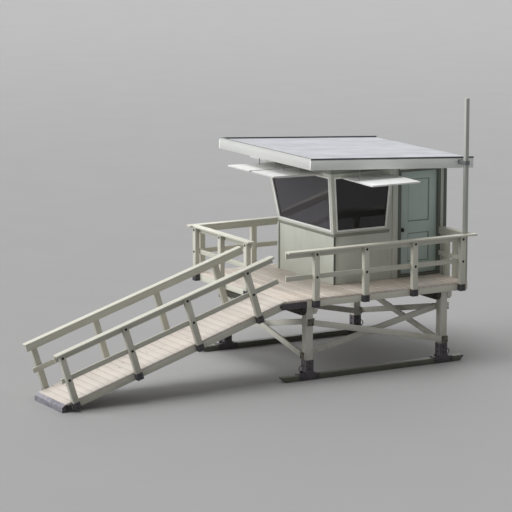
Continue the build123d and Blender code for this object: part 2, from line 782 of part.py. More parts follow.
# ---------------------------------------------------------------- roof
roof_y1 = roof_near_y + roof_width
inner_roof_y0 = roof_near_y + fascia_t
inner_roof_y1 = roof_y1 - fascia_t
fascia_z0 = -roof_deck_t - fascia_h
soffit_z0 = fascia_z0 + soffit_lift
rafter_z0 = soffit_z0 + soffit_t
save("roof_deck", on_roof(block(0, roof_length, roof_near_y, roof_y1, -roof_deck_t, 0)))
save(
    "side_fascias",
    on_roof(block(0, roof_length, roof_near_y, inner_roof_y0, fascia_z0, -roof_deck_t)),
    on_roof(block(0, roof_length, inner_roof_y1, roof_y1, fascia_z0, -roof_deck_t)),
)
end_fascias = []
for x in (0, roof_length - fascia_t):
    end_fascias.append(
        on_roof(block(x, x + fascia_t, inner_roof_y0, inner_roof_y1, fascia_z0, -roof_deck_t))
    )
save("end_fascias", *end_fascias)
save(
    "soffit",
    on_roof(block(fascia_t, roof_length - fascia_t, inner_roof_y0, inner_roof_y1, soffit_z0, rafter_z0)),
)
rafters = []
rafter_pitch = (inner_roof_y1 - inner_roof_y0 - rafter_t) / (rafter_count - 1)
for i in range(rafter_count):
    y = inner_roof_y0 + rafter_pitch * i
    rafters.append(on_roof(block(fascia_t, roof_length - fascia_t, y, y + rafter_t, rafter_z0, -roof_deck_t)))
save("rafters", *rafters)

# ---------------------------------------------------------------- shutters held out level
front_shutter_y0s = (
    cabin_near_y + front_shutter_inset,
    cabin_near_y + front_shutter_inset + front_shutter_w + front_shutter_gap,
)
side_shutter_front_x = cabin_front_x + side_shutter_front_inset
side_shutter_rear_x = bay_rear_x - side_shutter_rear_inset


def front_shutter(y0):
    hinge_x = header_x0 - shutter_edge_gap + front_shutter_hinge_drop * lean_slope
    hinge_z = window_head_z - front_shutter_hinge_drop
    flat = block(-shutter_reach, 0, y0, y0 + front_shutter_w, -shutter_t / 2, shutter_t / 2)
    return Pos(hinge_x, 0, hinge_z) * Rot(0, front_shutter_tilt, 0) * flat


def side_shutter(y_side):
    hinge_out = lean_out + shutter_edge_gap - side_shutter_hinge_drop * lean_slope
    hinge_z = window_head_z - side_shutter_hinge_drop
    hinge_y = cabin_near_y - hinge_out if y_side < 0 else cabin_far_y + hinge_out
    y0 = -shutter_reach if y_side < 0 else 0
    flat = block(
        side_shutter_front_x, side_shutter_rear_x, y0, y0 + shutter_reach, -shutter_t / 2, shutter_t / 2
    )
    return Pos(0, hinge_y, hinge_z) * Rot(y_side * side_shutter_tilt, 0, 0) * flat


front_shutters = [front_shutter(y0) for y0 in front_shutter_y0s]
side_shutters = [side_shutter(-1), side_shutter(1)]
save("front_shutters", *front_shutters)
save("side_shutters", *side_shutters)


def hanger(x, y):
    """A thin steel rod from the soffit down to the shutter under it."""
    low = window_base_z
    drop = Pos(x, y, (low + above) / 2) * Cylinder(hanger_d / 2, above - low)
    drop -= roof_space
    for shutter in front_shutters + side_shutters:
        drop -= shutter
    return drop.solids().sort_by(Axis.Z)[-1]


front_hanger_x = header_x0 - hanger_reach
hangers = []
for y0 in front_shutter_y0s:
    hangers.append(hanger(front_hanger_x, y0 + hanger_inset))
    hangers.append(hanger(front_hanger_x, y0 + front_shutter_w - hanger_inset))
for x0 in (side_shutter_front_x + hanger_inset, side_shutter_rear_x - hanger_inset):
    hangers.append(hanger(x0, header_y0 - hanger_reach))
    hangers.append(hanger(x0, header_y1 + hanger_reach))
save("shutter_hangers", *hangers)

# ---------------------------------------------------------------- bracket from the roof edge to the pole
roof_drop = (pole_x - roof_front_x) * math.tan(math.radians(roof_fall))
bracket_z1 = roof_top_front_z - roof_drop - roof_deck_t - bracket_t
bracket_z0 = bracket_z1 - bracket_h
bracket = block(
    pole_x - half_pole - bracket_t, pole_x + half_pole + bracket_t,
    pole_y - half_pole - bracket_t, roof_near_y, bracket_z0, bracket_z1,
)
bracket -= block(
    pole_x - half_pole, pole_x + half_pole, pole_y - half_pole, pole_y + half_pole, bracket_z0, bracket_z1
)
bracket -= block(
    pole_x - half_pole, pole_x + half_pole, pole_y + half_pole + bracket_t, roof_near_y - bracket_t,
    bracket_z0, bracket_z1,
)
save("pole_bracket", bracket)
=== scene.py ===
import json
import math
import random

import bmesh
import bpy
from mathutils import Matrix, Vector


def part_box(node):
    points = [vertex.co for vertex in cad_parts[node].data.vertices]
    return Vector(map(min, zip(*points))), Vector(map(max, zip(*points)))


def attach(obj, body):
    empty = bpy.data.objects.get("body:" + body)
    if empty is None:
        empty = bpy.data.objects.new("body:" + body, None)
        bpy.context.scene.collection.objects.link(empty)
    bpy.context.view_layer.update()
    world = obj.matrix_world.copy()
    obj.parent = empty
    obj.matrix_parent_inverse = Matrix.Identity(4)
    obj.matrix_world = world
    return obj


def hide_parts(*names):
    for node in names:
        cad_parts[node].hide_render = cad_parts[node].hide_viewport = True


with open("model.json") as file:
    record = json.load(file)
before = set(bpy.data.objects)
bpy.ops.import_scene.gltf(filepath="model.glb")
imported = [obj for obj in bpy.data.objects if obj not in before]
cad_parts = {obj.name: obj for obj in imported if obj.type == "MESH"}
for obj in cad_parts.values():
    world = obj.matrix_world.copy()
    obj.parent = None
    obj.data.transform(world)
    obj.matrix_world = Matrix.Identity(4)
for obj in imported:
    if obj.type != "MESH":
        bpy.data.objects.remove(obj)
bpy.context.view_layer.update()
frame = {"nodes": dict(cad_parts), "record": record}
nodes = frame["nodes"]
body_of_node = {
    member: body for body, members in frame["record"]["behaviour"]["bodies"].items() for member in members
}
chance = random.Random(11)

# sizes in metres
X, Y, Z = Vector((1, 0, 0)), Vector((0, 1, 0)), Vector((0, 0, 1))
CAP_T = 0.035
BOARD_T = 0.038
POST_T = 0.095
RAMP_SLOPE = math.radians(17.4)
LEAN = math.radians(8.5)
DECK_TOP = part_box("deck_boards")[1].z


def placed(name, data):
    """A new object in the scene."""
    item = bpy.data.objects.new(name, data)
    bpy.context.scene.collection.objects.link(item)
    return item


# ---------------- materials
def shade(r, g, b):
    """A colour given as it looks on a screen, 0 to 255, in linear light."""
    return tuple(((c / 255 + 0.055) / 1.055) ** 2.4 for c in (r, g, b)) + (1.0,)


def scaled(colour, factor):
    return tuple(min(1.0, c * factor) for c in colour[:3]) + (1.0,)


class Graph:
    """The shader nodes of a material or a world."""

    def __init__(self, owner):
        owner.use_nodes = True
        self.nodes = owner.node_tree.nodes
        self.links = owner.node_tree.links

    def put(self, socket, value):
        if isinstance(value, bpy.types.NodeSocket):
            self.links.new(value, socket)
        else:
            socket.default_value = value

    def fill(self, node, **values):
        for key, value in values.items():
            self.put(node.inputs[key.replace("_", " ")], value)

    def node(self, kind, *values, **settings):
        """A new node with its settings and its first inputs."""
        node = self.nodes.new("ShaderNode" + kind)
        for key, value in settings.items():
            setattr(node, key, value)
        for socket, value in zip(node.inputs, values):
            self.put(socket, value)
        return node

    def math(self, op, *values):
        return self.node("Math", *values, operation=op).outputs[0]


class Look(Graph):
    """A procedural material: one Principled shader and the nodes behind it."""

    def __init__(self, name, **shader):
        self.material = bpy.data.materials.new(name)
        super().__init__(self.material)
        self.shader = self.nodes["Principled BSDF"]
        self.tone = None
        self.fill(self.shader, **shader)

    def vector(self, op, *values, output="Vector"):
        return self.node("VectorMath", *values, operation=op).outputs[output]

    def read(self, name, output="Vector"):
        return self.node("Attribute", attribute_name=name).outputs[output]

    def parts(self, vector):
        return self.node("SeparateXYZ", vector).outputs

    def total(self, *terms):
        """The sum of some values, each given with its weight."""
        found = None
        for value, weight in terms:
            part = value if weight == 1 else self.math("MULTIPLY", value, weight)
            found = part if found is None else self.math("ADD", found, part)
        return found

    def grain(self, x, y, z):
        """Places along, across and through a piece, stretched, and moved by its own number."""
        moved = self.vector("MULTIPLY_ADD", self.read("tint"), (41.0, 23.0, 17.0), self.read("own"))
        return self.vector("MULTIPLY", moved, (x, y, z))

    def noise(self, at, detail=3.0, rough=0.5, bend=0.0):
        node = self.node("TexNoise", at)
        self.fill(node, Scale=1.0, Detail=detail, Roughness=rough, Distortion=bend)
        return node.outputs["Fac"]

    def cloud(self, x, y, z, detail=3.0, rough=0.5, bend=0.0):
        """Noise fixed to the part, with so many spots per metre each way."""
        return self.noise(self.vector("MULTIPLY", self.read("rest"), (x, y, z)), detail, rough, bend)

    def between(self, value, low, high, to_low=0.0, to_high=1.0):
        node = self.node("MapRange", value, low, high, to_low, to_high, interpolation_type="SMOOTHSTEP")
        return node.outputs[0]

    def edge(self, width, rough):
        """1 on a piece's own edges, falling to 0 a width away, in metres, with a ragged border."""
        own = self.vector("ABSOLUTE", self.read("own"))
        x, y, z = self.parts(self.vector("SUBTRACT", self.read("half"), own))
        low, high, total = [self.math(op, self.math(op, x, y), z) for op in ("MINIMUM", "MAXIMUM", "ADD")]
        middle = self.math("SUBTRACT", self.math("SUBTRACT", total, low), high)
        ragged = self.noise(self.grain(9, 40, 40), 3)
        start = rough * 0.35
        return self.between(self.total((middle, 1), (ragged, rough)), start, start + width, 1.0, 0.0)

    def mix(self, amount, a, b):
        """A mix of two colours, each a colour or a socket."""
        node = self.node("Mix", data_type="RGBA")
        for i, value in ((0, amount), (6, a), (7, b)):
            self.put(node.inputs[i], value)
        return node.outputs[2]

    def begin(self, base, value, low, high, first, last):
        """Start the tone from one strength of a colour to another, as a value rises."""
        self.tone = self.mix(self.between(value, low, high), scaled(base, first), scaled(base, last))

    def over(self, amount, colour):
        """Lay a colour over the tone gathered so far."""
        self.tone = self.mix(amount, self.tone, colour)

    def wear(self, width, rough, amount, colour):
        """Lay a colour along a piece's own edges."""
        self.over(self.math("MULTIPLY", self.edge(width, rough), amount), colour)

    def finish(self, roughness, relief=None, strength=0.0, distance=0.0):
        """Give the shader the gathered tone, a roughness and a relief, and hand over the material."""
        self.fill(self.shader, Base_Color=self.tone, Roughness=roughness)
        if relief is not None:
            bump = self.node("Bump")
            self.fill(bump, Strength=strength, Distance=distance, Height=relief)
            self.fill(self.shader, Normal=bump.outputs[0])
        return self.material


def painted(name, colour, worn=0.5, grimy=0.5, grain=0.5, bare=(150, 138, 118)):
    """Painted timber: brush marks, faded patches, thin paint at the edges, grime low down."""
    look = Look(name, Specular_IOR_Level=0.35)
    base = shade(*colour)
    broad = look.noise(look.grain(1.1, 3.5, 3.5), 3)
    streak = look.noise(look.grain(3.5, 70, 70), 4, 0.6, 0.3)
    fine = look.noise(look.grain(18, 300, 300), 2)
    patch = look.total((broad, 0.7), (look.read("tint", "Fac"), 0.3))
    look.begin(base, patch, 0.25, 0.75, 0.90, 1.06)
    look.over(look.between(streak, 0.52, 0.78, 0.0, 0.30 * grain + 0.05), scaled(base, 0.72))
    low = look.between(look.parts(look.read("rest"))[2], 0.15, 0.95, 0.5 * grimy, 0.0)
    spots = look.between(look.cloud(5, 5, 9, 5, 0.65), 0.42, 0.7)
    look.over(look.math("MULTIPLY", low, spots), shade(104, 97, 80))
    drift = look.cloud(1.3, 1.3, 0.5, 4, 0.6)
    look.over(look.between(drift, 0.45, 0.75, 0.0, 0.22 * grimy), shade(150, 146, 128))
    look.wear(0.0035, 0.010, 0.75 * worn, shade(*bare))
    relief = look.total((streak, 1), (fine, 0.5))
    return look.finish(look.between(streak, 0.3, 0.8, 0.52, 0.70), relief, 0.25 + 0.35 * grain, 0.0012)


def bare_timber(name, colour, dark, grey=0.35, even=0.0):
    """Weathered boards: tone from board to board, growth lines, knots, dirt along the joints."""
    far = 1 - even
    look = Look(name, Specular_IOR_Level=0.25)
    base = shade(*colour)
    deep = shade(*dark)
    broad = look.noise(look.grain(0.8, 5, 5), 3)
    lines = look.noise(look.grain(1.2, 95, 60), 5, 0.62, 0.9)
    fine = look.noise(look.grain(10, 420, 300), 2, 0.6)
    look.begin(base, look.read("tint", "Fac"), 0.0, 1.0, 1 - 0.17 * far, 1 + 0.10 * far)
    look.over(look.between(broad, 0.38, 0.72, 0.0, 0.35 * far), scaled(deep, 1.5))
    look.over(look.between(lines, 0.50, 0.74, 0.0, 0.55 * far + 0.08), deep)
    look.over(look.between(look.cloud(1.6, 1.6, 1.6, 4), 0.4, 0.7, 0.0, grey), shade(196, 193, 188))
    knot = look.node("TexVoronoi")
    look.fill(knot, Vector=look.grain(1.6, 9, 9), Scale=1.0)
    seen = look.between(look.parts(knot.outputs["Color"])[0], 0.62, 0.66)
    ring = look.math("MULTIPLY", look.between(knot.outputs["Distance"], 0.04, 0.13, 1.0, 0.0), seen)
    look.over(look.math("MULTIPLY", ring, 0.7), scaled(deep, 0.55))
    look.wear(0.005, 0.008, 0.95 * far - 0.08, scaled(deep, 0.45))
    relief = look.total((lines, -1.0), (fine, 0.35))
    return look.finish(look.between(lines, 0.3, 0.7, 0.66, 0.84), relief, 0.6, 0.0016)


def steel(name, colour, rust=0.3, metallic=0.35, rough=0.5):
    """Steel with a dull coat: mottled, rubbed bright on its edges, some rust in the corners."""
    look = Look(name, Metallic=metallic)
    base = shade(*colour)
    cloud = look.cloud(14, 14, 14, 5, 0.65)
    grit = look.cloud(230, 230, 230, 3)
    look.begin(base, cloud, 0.3, 0.7, 0.72, 1.25)
    look.over(look.between(look.cloud(9, 9, 4, 6, 0.7), 0.56, 0.72, 0.0, rust), shade(112, 78, 56))
    look.wear(0.0025, 0.004, 0.45, scaled(base, 2.6))
    relief = look.total((cloud, 1), (grit, 0.4))
    return look.finish(look.between(cloud, 0.25, 0.75, rough - 0.1, rough + 0.18), relief, 0.3, 0.0008)


def coated_sheet(name, colour):
    """Roof covering: rolled sheet with faint run marks, dust and shallow ripples."""
    look = Look(name, Specular_IOR_Level=0.15)
    base = shade(*colour)
    runs = look.cloud(0.5, 4, 1, 4, 0.6, 0.4)
    cloud = look.cloud(1.4, 2.6, 1, 5, 0.62)
    grit = look.cloud(160, 160, 160, 2)
    look.begin(base, cloud, 0.3, 0.72, 1.05, 0.90)
    look.over(look.between(runs, 0.5, 0.78, 0.0, 0.28), shade(176, 179, 185))
    look.wear(0.03, 0.05, 0.35, shade(150, 152, 154))
    relief = look.total((cloud, 1), (grit, 0.12))
    return look.finish(look.between(cloud, 0.3, 0.7, 0.62, 0.78), relief, 0.35, 0.004)


def panel_paint(name, colour, soil, under=(120, 118, 100), rough=0.5):
    """Painted sheet: rain marks, soil just over the deck, a faint roller texture."""
    look = Look(name, Specular_IOR_Level=0.4)
    base = shade(*colour)
    rain = look.cloud(9, 9, 0.6, 4, 0.55)
    cloud = look.cloud(1.3, 1.3, 1, 4, 0.55)
    roller = look.cloud(420, 420, 420, 2)
    look.begin(base, cloud, 0.3, 0.7, 0.93, 1.05)
    look.over(look.between(rain, 0.52, 0.78, 0.0, 0.20 * soil + 0.02), shade(*under))
    foot = look.between(look.parts(look.read("rest"))[2], DECK_TOP, DECK_TOP + 0.26, 0.40 * soil, 0.0)
    splash = look.between(look.cloud(11, 11, 7, 6, 0.7), 0.35, 0.66)
    look.over(look.math("MULTIPLY", foot, splash), shade(142, 131, 110))
    look.wear(0.004, 0.006, 0.35, shade(*under))
    relief = look.total((roller, 0.5), (rain, 1))
    return look.finish(look.between(rain, 0.3, 0.8, rough, rough + 0.16), relief, 0.18, 0.0010)


def tinted_glass(name, colour):
    """A dark pane with dust on it."""
    look = Look(name, IOR=1.52, Specular_IOR_Level=0.5, Transmission_Weight=0.55)
    dust = look.cloud(3, 3, 3, 6, 0.7)
    base = shade(*colour)
    look.tone = look.mix(look.between(dust, 0.45, 0.8, 0.0, 0.35), base, scaled(base, 1.7))
    return look.finish(look.between(dust, 0.4, 0.8, 0.03, 0.12))


def dark_rubber(name):
    look = Look(name, Specular_IOR_Level=0.3)
    cloud = look.cloud(30, 30, 30, 4)
    look.tone = look.mix(cloud, shade(34, 34, 36), shade(58, 58, 60))
    return look.finish(look.between(cloud, 0.3, 0.7, 0.55, 0.75))


# painted timber: wear at the edges, grime, brush marks and the colour under the paint
RAIL = painted("rail_paint", (206, 205, 192), 0.35, 0.45)
# the ramp's railing and stringers: a darker copy of the rail paint, as painted shade
RAMP_RAIL_PAINTED_SHADE = painted("ramp_rail_painted_shade", (190, 189, 177), 0.35, 0.45)
POLE = painted("pole_paint", (176, 178, 172), 0.3)
FRAME = painted("frame_paint", (198, 197, 187), 0.45, 0.8, 0.6)
# near-black paint for the beams on the -X side of the legs: painted shade under the deck and ramp hinge
BEAM_PAINTED_SHADE = painted("beam_painted_shade", (48, 45, 42), 0.5, 0.6, 0.7, (62, 57, 50))
SKID = painted("skid_stain", (90, 92, 84), 0.7, 0.8, 0.9, (70, 68, 56))
HANGER = painted("hanger_paint", (140, 143, 139), 0.2, 0.1, 0.15, (96, 94, 88))
WHITE = painted("window_paint", (244, 245, 244), 0.1, 0.1, 0.15, (214, 212, 206))
# the side fascia paint is raised towards white as painted light against its shade
FASCIA = painted("side_fascia_paint", (240, 242, 238), 0.3, 0.3, 0.25, (184, 180, 168))
# the front end fascias: a darker copy of the fascia white, as painted shade on the lit end
FRONT_FASCIA_PAINTED_SHADE = painted("front_fascia_painted_shade", (200, 201, 198), 0.3, 0.3, 0.25, (170, 166, 156))
SHUTTER = painted("shutter_paint", (215, 215, 214), 0.2, 0.1, 0.15, (184, 180, 172))
DECK = bare_timber("deck_boards", (217, 207, 196), (157, 141, 128))
RAMP = bare_timber("ramp_boards", (202, 194, 185), (162, 150, 139), even=0.6)
FLOOR_BOARDS = bare_timber("cabin_floor_boards", (170, 156, 138), (120, 100, 80), 0.15)
# painted sheet: rain marks and soil, and their colour
WALL = panel_paint("wall_paint", (201, 204, 195), 0.24)
# the front wall: a darker copy of the wall paint, as painted shade on the lit end wall
FRONT_WALL_PAINTED_SHADE = panel_paint("front_wall_painted_shade", (190, 193, 183), 0.12)
# the sills under the windows: a darker copy of the wall paint, as painted shade under the frames
SILL_PAINTED_SHADE = panel_paint("sill_painted_shade", (146, 149, 140), 0.3, (110, 112, 102))
# dark green for the door frame and the thin dark strips: painted shade in reveals and recesses
TRIM_PAINTED_SHADE = panel_paint("trim_painted_shade", (104, 110, 103), 0.3, (70, 72, 64))
# the headers over the windows: a darker copy of the wall paint, as painted shade under the roof
HEADER_PAINTED_SHADE = panel_paint("header_painted_shade", (138, 143, 134), 0.3, (96, 98, 88))
DOOR = panel_paint("door_paint", (188, 203, 198), 0.35, (120, 134, 132), rough=0.42)
# a darker copy of the door paint for the pressed steps, as painted shade in the creases
DOOR_CREASE_PAINTED_SHADE = panel_paint("door_crease_painted_shade", (128, 141, 137), 0.35, (90, 102, 100))
ROOF = coated_sheet("roof_covering", (181, 183, 188))
# the front pane: a lighter copy of the side pane's tint, as painted reflection
FRONT_GLASS_PAINTED_REFLECTION = tinted_glass("front_glass_painted_reflection", (90, 88, 95))
SIDE_GLASS = tinted_glass("side_glass_tint", (42, 42, 47))
GASKET = dark_rubber("glazing_rubber")
# steel: rust, share of bare metal and roughness
STEEL = steel("dark_steel", (78, 75, 78))
FLASHING = steel("flashing", (86, 88, 92), 0.08, 0.5, 0.42)
LIP = steel("pale_flashing", (118, 120, 121), 0.05, 0.3)
TOE = steel("toe_steel", (140, 138, 146), 0.18, 0.5, 0.45)
PLATE = steel("plate_steel", (98, 94, 82), 0.35, 0.25, 0.55)
BOLT = steel("bolt_steel", (30, 29, 31), 0.2, 0.4)
SCREW = steel("screw_steel", (96, 90, 84), 0.6, 0.5)


# ---------------- solids
BOX_FACES = ((0, 2, 3, 1), (4, 5, 7, 6), (0, 1, 5, 4), (2, 6, 7, 3), (0, 4, 6, 2), (1, 3, 7, 5))


class Solid:
    """A closed piece: its corners, its faces, and its own axes."""

    def __init__(self, points, faces):
        self.points = [Vector(p) for p in points]
        self.faces = [tuple(f) for f in faces]
        self.measured = None

    def axes(self):
        """Middle, half sizes, and three directions: the longest edge, across it, out of the widest face."""
        if self.measured:
            return self.measured
        longest, along = 0.0, X
        for f in self.faces:
            for a, b in zip(f, f[1:] + f[:1]):
                step = self.points[b] - self.points[a]
                if step.length > longest + 1e-4:
                    longest, along = step.length, step.normalized()
        along = pointing(along)
        widest, out = 0.0, None
        for f in self.faces:
            area, normal = self.area(f)
            if area > widest + 1e-6 and abs(normal.dot(along)) < 0.02:
                widest, out = area, normal
        out = pointing(out if out is not None else along.orthogonal().normalized())
        across = pointing(out.cross(along).normalized())
        spans = [self.reach(d) for d in (along, across, out)]
        middle = sum(((lo + hi) / 2 * d for (lo, hi), d in zip(spans, (along, across, out))), Vector())
        half = Vector([(hi - lo) / 2 for lo, hi in spans])
        self.measured = (middle, half, along, across, out)
        return self.measured

    def area(self, f):
        """The area and the normal of a face."""
        normal = Vector()
        first = self.points[f[0]]
        for a, b in zip(f[1:], f[2:]):
            normal += (self.points[a] - first).cross(self.points[b] - first)
        size = normal.length / 2
        return size, normal.normalized() if size > 0 else Z

    def reach(self, direction):
        """The lowest and highest corner along a direction."""
        values = [p.dot(direction) for p in self.points]
        return min(values), max(values)

    def side(self, out, point=None):
        """A point, or the middle, moved out to the furthest side in a direction."""
        point = self.axes()[0] if point is None else point
        return point + out * (self.reach(out)[1] - point.dot(out))

    def mesh(self):
        bm = bmesh.new()
        made = [bm.verts.new(p) for p in self.points]
        for f in self.faces:
            bm.faces.new([made[i] for i in f])
        bm.normal_update()
        return bm


def pointing(d):
    """The same line, turned so that its largest part is positive."""
    big = max(range(3), key=lambda i: round(abs(d[i]), 3))
    return d if d[big] > 0 else -d


def axes_at(origin, along, across, up):
    """What turns three distances from an origin, along three directions, into a point."""
    return lambda x, y, z: origin + along * x + across * y + up * z


def separate(bm):
    """The closed pieces of a mesh, in a settled order."""
    seen, found = set(), []
    for first in bm.verts:
        if first in seen:
            continue
        own, waiting = {first}, [first]
        while waiting:
            near = {v for e in waiting.pop().link_edges for v in e.verts} - own
            own |= near
            waiting += near
        seen |= own
        corners = [v for v in bm.verts if v in own]
        new = {v: i for i, v in enumerate(corners)}
        faces = [[new[v] for v in f.verts] for f in bm.faces if f.verts[0] in own]
        if faces:
            found.append(Solid([v.co.copy() for v in corners], faces))
    bm.free()
    return sorted(found, key=lambda s: tuple(round(c, 2) for c in s.axes()[0]))


def solids(node):
    """The separate solids of a CAD node, with each flat face in one piece."""
    bm = bmesh.new()
    bm.from_mesh(nodes[node].data)
    bmesh.ops.remove_doubles(bm, verts=bm.verts, dist=2e-5)
    bmesh.ops.dissolve_limit(bm, angle_limit=math.radians(0.6), verts=bm.verts, edges=bm.edges)
    return separate(bm)


def all_of(bm):
    return bm.verts[:] + bm.edges[:] + bm.faces[:]


def cut(solid, point, normal):
    """The parts of a solid below and above a plane, each closed."""
    halves = []
    for keep_upper in (False, True):
        bm = solid.mesh()
        got = bmesh.ops.bisect_plane(
            bm, geom=all_of(bm), dist=1e-6, plane_co=point, plane_no=normal,
            clear_outer=not keep_upper, clear_inner=keep_upper,
        )
        edges = [e for e in got["geom_cut"] if isinstance(e, bmesh.types.BMEdge) and e.is_boundary]
        if edges:
            bmesh.ops.edgeloop_fill(bm, edges=edges)
        bmesh.ops.recalc_face_normals(bm, faces=bm.faces)
        halves.append(separate(bm))
    return halves


def closed(points, faces):
    """A mesh from its corners and faces, with every face turned outwards."""
    bm = Solid(points, faces).mesh()
    bmesh.ops.recalc_face_normals(bm, faces=bm.faces)
    return bm


def skin(rings, looped=False):
    """A mesh over rings of points, or of one point, with its ends closed or, looped, joined."""
    points, numbers = [], []
    for ring in rings:
        numbers.append([len(points) + i for i in range(len(ring))])
        points += ring
    faces = [] if looped else [end for end in (numbers[0][::-1], numbers[-1]) if len(end) > 2]
    for low, high in zip(numbers, numbers[1:] + (numbers[:1] if looped else [])):
        for i in range(max(len(low), len(high))):
            around = (low, i), (low, i + 1), (high, i + 1), (high, i)
            faces.append(dict.fromkeys(ring[k % len(ring)] for ring, k in around))
    return closed(points, faces)


def circle(middle, side, other, radius, count, spin=0.0):
    """Points round a middle, or the middle alone where the radius is 0."""
    angles = [spin + 2 * math.pi * i / count for i in range(count if radius else 1)]
    return [middle + (side * math.cos(a) + other * math.sin(a)) * radius for a in angles]


def box(low, high, place=None):
    """A rectangular solid from its lowest to its highest corner, which place may move."""
    points = [(x, y, z) for z in (low[2], high[2]) for y in (low[1], high[1]) for x in (low[0], high[0])]
    return separate(closed([place(*p) for p in points] if place else points, BOX_FACES))[0]


def prism(outline, push):
    """A flat outline pushed along a direction."""
    outline = [Vector(p) for p in outline]
    return separate(skin([outline, [p + push for p in outline]]))[0]


def hoop(face, out, spans):
    """A ring round a flat outline, from its section: distances out of it and heights over it."""
    rings = []
    for w, h in spans:
        ring = []
        for before, p, after in zip(face[-1:] + face, face, face[1:] + face[:1]):
            a = (p - before).normalized().cross(out)
            b = (after - p).normalized().cross(out)
            ring.append(p + (a + b) * (w / (1 + a.dot(b))) + out * h)
        rings.append(ring)
    return separate(skin(rings, True))[0]


def widest_face(solid, towards):
    """The corners and the normal of a solid's widest face that looks towards a direction."""
    seen = [f for f in solid.faces if solid.area(f)[1].dot(towards) > 0.7]
    best = max(seen, key=lambda f: solid.area(f)[0])
    return [solid.points[i] for i in best], solid.area(best)[1]


# ---------------- pieces
SHARP = math.radians(38)

# bolts: radius of washer and of head, height of head; a screw: its profile of radius and height
BEAM_BOLT = (0.022, 0.014, 0.011)
SHOE_BOLT = (0.012, 0.009, 0.006)
PLATE_BOLT = (0.014, 0.010, 0.008)
POST_BOLT = (0.024, 0.0145, 0.010)
SADDLE_BOLT = (0.017, 0.011, 0.009)
SCREW_SHAPE = ((0, 0), (0.0048, 0), (0.0044, 0.0007), (0.0016, 0.0007), (0.0012, 0.0001), (0, 0.0001))


class Piece:
    """One object of the scene, gathered from solids, turned parts and rods."""

    def __init__(self):
        self.points, self.faces, self.smooth, self.kind = [], [], [], []
        self.own, self.half, self.tint, self.rest = [], [], [], []

    def take(self, bm, axes, smooth=False, kind=0, tint=None, bend=None):
        """Take over a mesh, with what the materials read: its axes, a number of its own and its place."""
        middle, half, along, across, out = axes
        tint = tint if tint is not None else chance.random()
        start = len(self.points)
        bm.verts.index_update()
        for v in bm.verts:
            d = v.co - middle
            local = Vector((d.dot(along), d.dot(across), d.dot(out)))
            self.own.append(local)
            self.half.append(half)
            self.tint.append(tint)
            self.rest.append(v.co.copy())
            self.points.append(v.co.copy() if bend is None else v.co + bend(local))
        # in a fixed order, because cuts leave the faces in another one each run
        for f in sorted(bm.faces, key=lambda f: sorted(v.index for v in f.verts)):
            corners = [start + v.index for v in f.verts]
            first = corners.index(min(corners))
            self.faces.append(corners[first:] + corners[:first])
            self.smooth.append(smooth)
            self.kind.append(kind + f.material_index)
        bm.free()

    def add(self, solid, bevel=0.003, steps=2, kind=0, shortest=0.012, parts=0, bend=None):
        """A solid with its long edges rounded, cut into parts where bend is to move them."""
        bm = solid.mesh()
        axes = solid.axes()
        if bevel:
            sharp = [
                e for e in bm.edges
                if e.is_manifold and e.calc_face_angle(0) > 0.45 and e.calc_length() > shortest
            ]
            size = min(bevel, min(axes[1]) * 0.45)
            bmesh.ops.bevel(
                bm, geom=sharp, offset=size, segments=steps, profile=0.5, affect="EDGES", clamp_overlap=True
            )
        for i in range(1, parts):
            at = axes[0] + axes[2] * axes[1][0] * (2 * i / parts - 1)
            bmesh.ops.bisect_plane(bm, geom=all_of(bm), plane_co=at, plane_no=axes[2])
        self.take(bm, axes, kind=kind, bend=bend)

    def turned(self, profile, at, out, count=16, smooth=True, spin=0.0):
        """A profile of (radius, height) turned about a line. It begins and ends on the line."""
        out = Vector(out).normalized()
        side = out.orthogonal().normalized()
        other = out.cross(side)
        rings = [circle(at + out * h, side, other, r, count, spin) for r, h in profile]
        wide = max(r for r, h in profile)
        tall = max(h for r, h in profile) - min(h for r, h in profile)
        self.take(skin(rings), (at, Vector((tall, wide, wide)), out, side, other), smooth=smooth)

    def rod(self, path, radius, count=10):
        """A round bar along a path of points."""
        rings = []
        side = None
        for before, p, after in zip(path[:1] + path, path, path[1:] + path[-1:]):
            way = (after - before).normalized()
            side = (side - way * side.dot(way) if side else way.orthogonal()).normalized()
            rings.append(circle(p, side, way.cross(side), radius, count))
        middle = sum(path, Vector()) / len(path)
        self.take(skin(rings), (middle, Vector((1, radius, radius)), X, Y, Z), smooth=True)

    def bolt(self, at, out, size):
        """A washer and a six-sided head with its corners taken off, standing on a face."""
        washer, head, high = size
        thick = 0.004
        rim = (washer, thick - 0.001), (washer - 0.0015, thick)
        self.turned([(0, 0), (washer, 0), *rim, (0, thick)], at, out, 18)
        top = thick + high
        shape = [(0, thick), (head, thick), (head, top - 0.002), (head * 0.82, top), (0, top + 0.0005)]
        self.turned(shape, at, out, 6, smooth=False, spin=chance.random())

    def made(self, name, looks, stands_for=(), slot=None, body="tower"):
        """The finished object, on its body, in the place of the CAD nodes that it stands for."""
        mesh = bpy.data.meshes.new(name)
        mesh.from_pydata([tuple(p) for p in self.points], [], self.faces)
        mesh.polygons.foreach_set("use_smooth", self.smooth)
        mesh.polygons.foreach_set("material_index", self.kind)
        for attribute in ("own", "half", "rest"):
            layer = mesh.attributes.new(attribute, "FLOAT_VECTOR", "POINT")
            layer.data.foreach_set("vector", [c for v in getattr(self, attribute) for c in v])
        layer = mesh.attributes.new("tint", "FLOAT", "POINT")
        layer.data.foreach_set("value", self.tint)
        for look in looks if isinstance(looks, list) else [looks]:
            mesh.materials.append(look)
        mesh.update()
        mesh.set_sharp_from_angle(angle=SHARP)
        item = placed(name, mesh)
        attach(item, body)
        if stands_for:
            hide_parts(*stands_for)


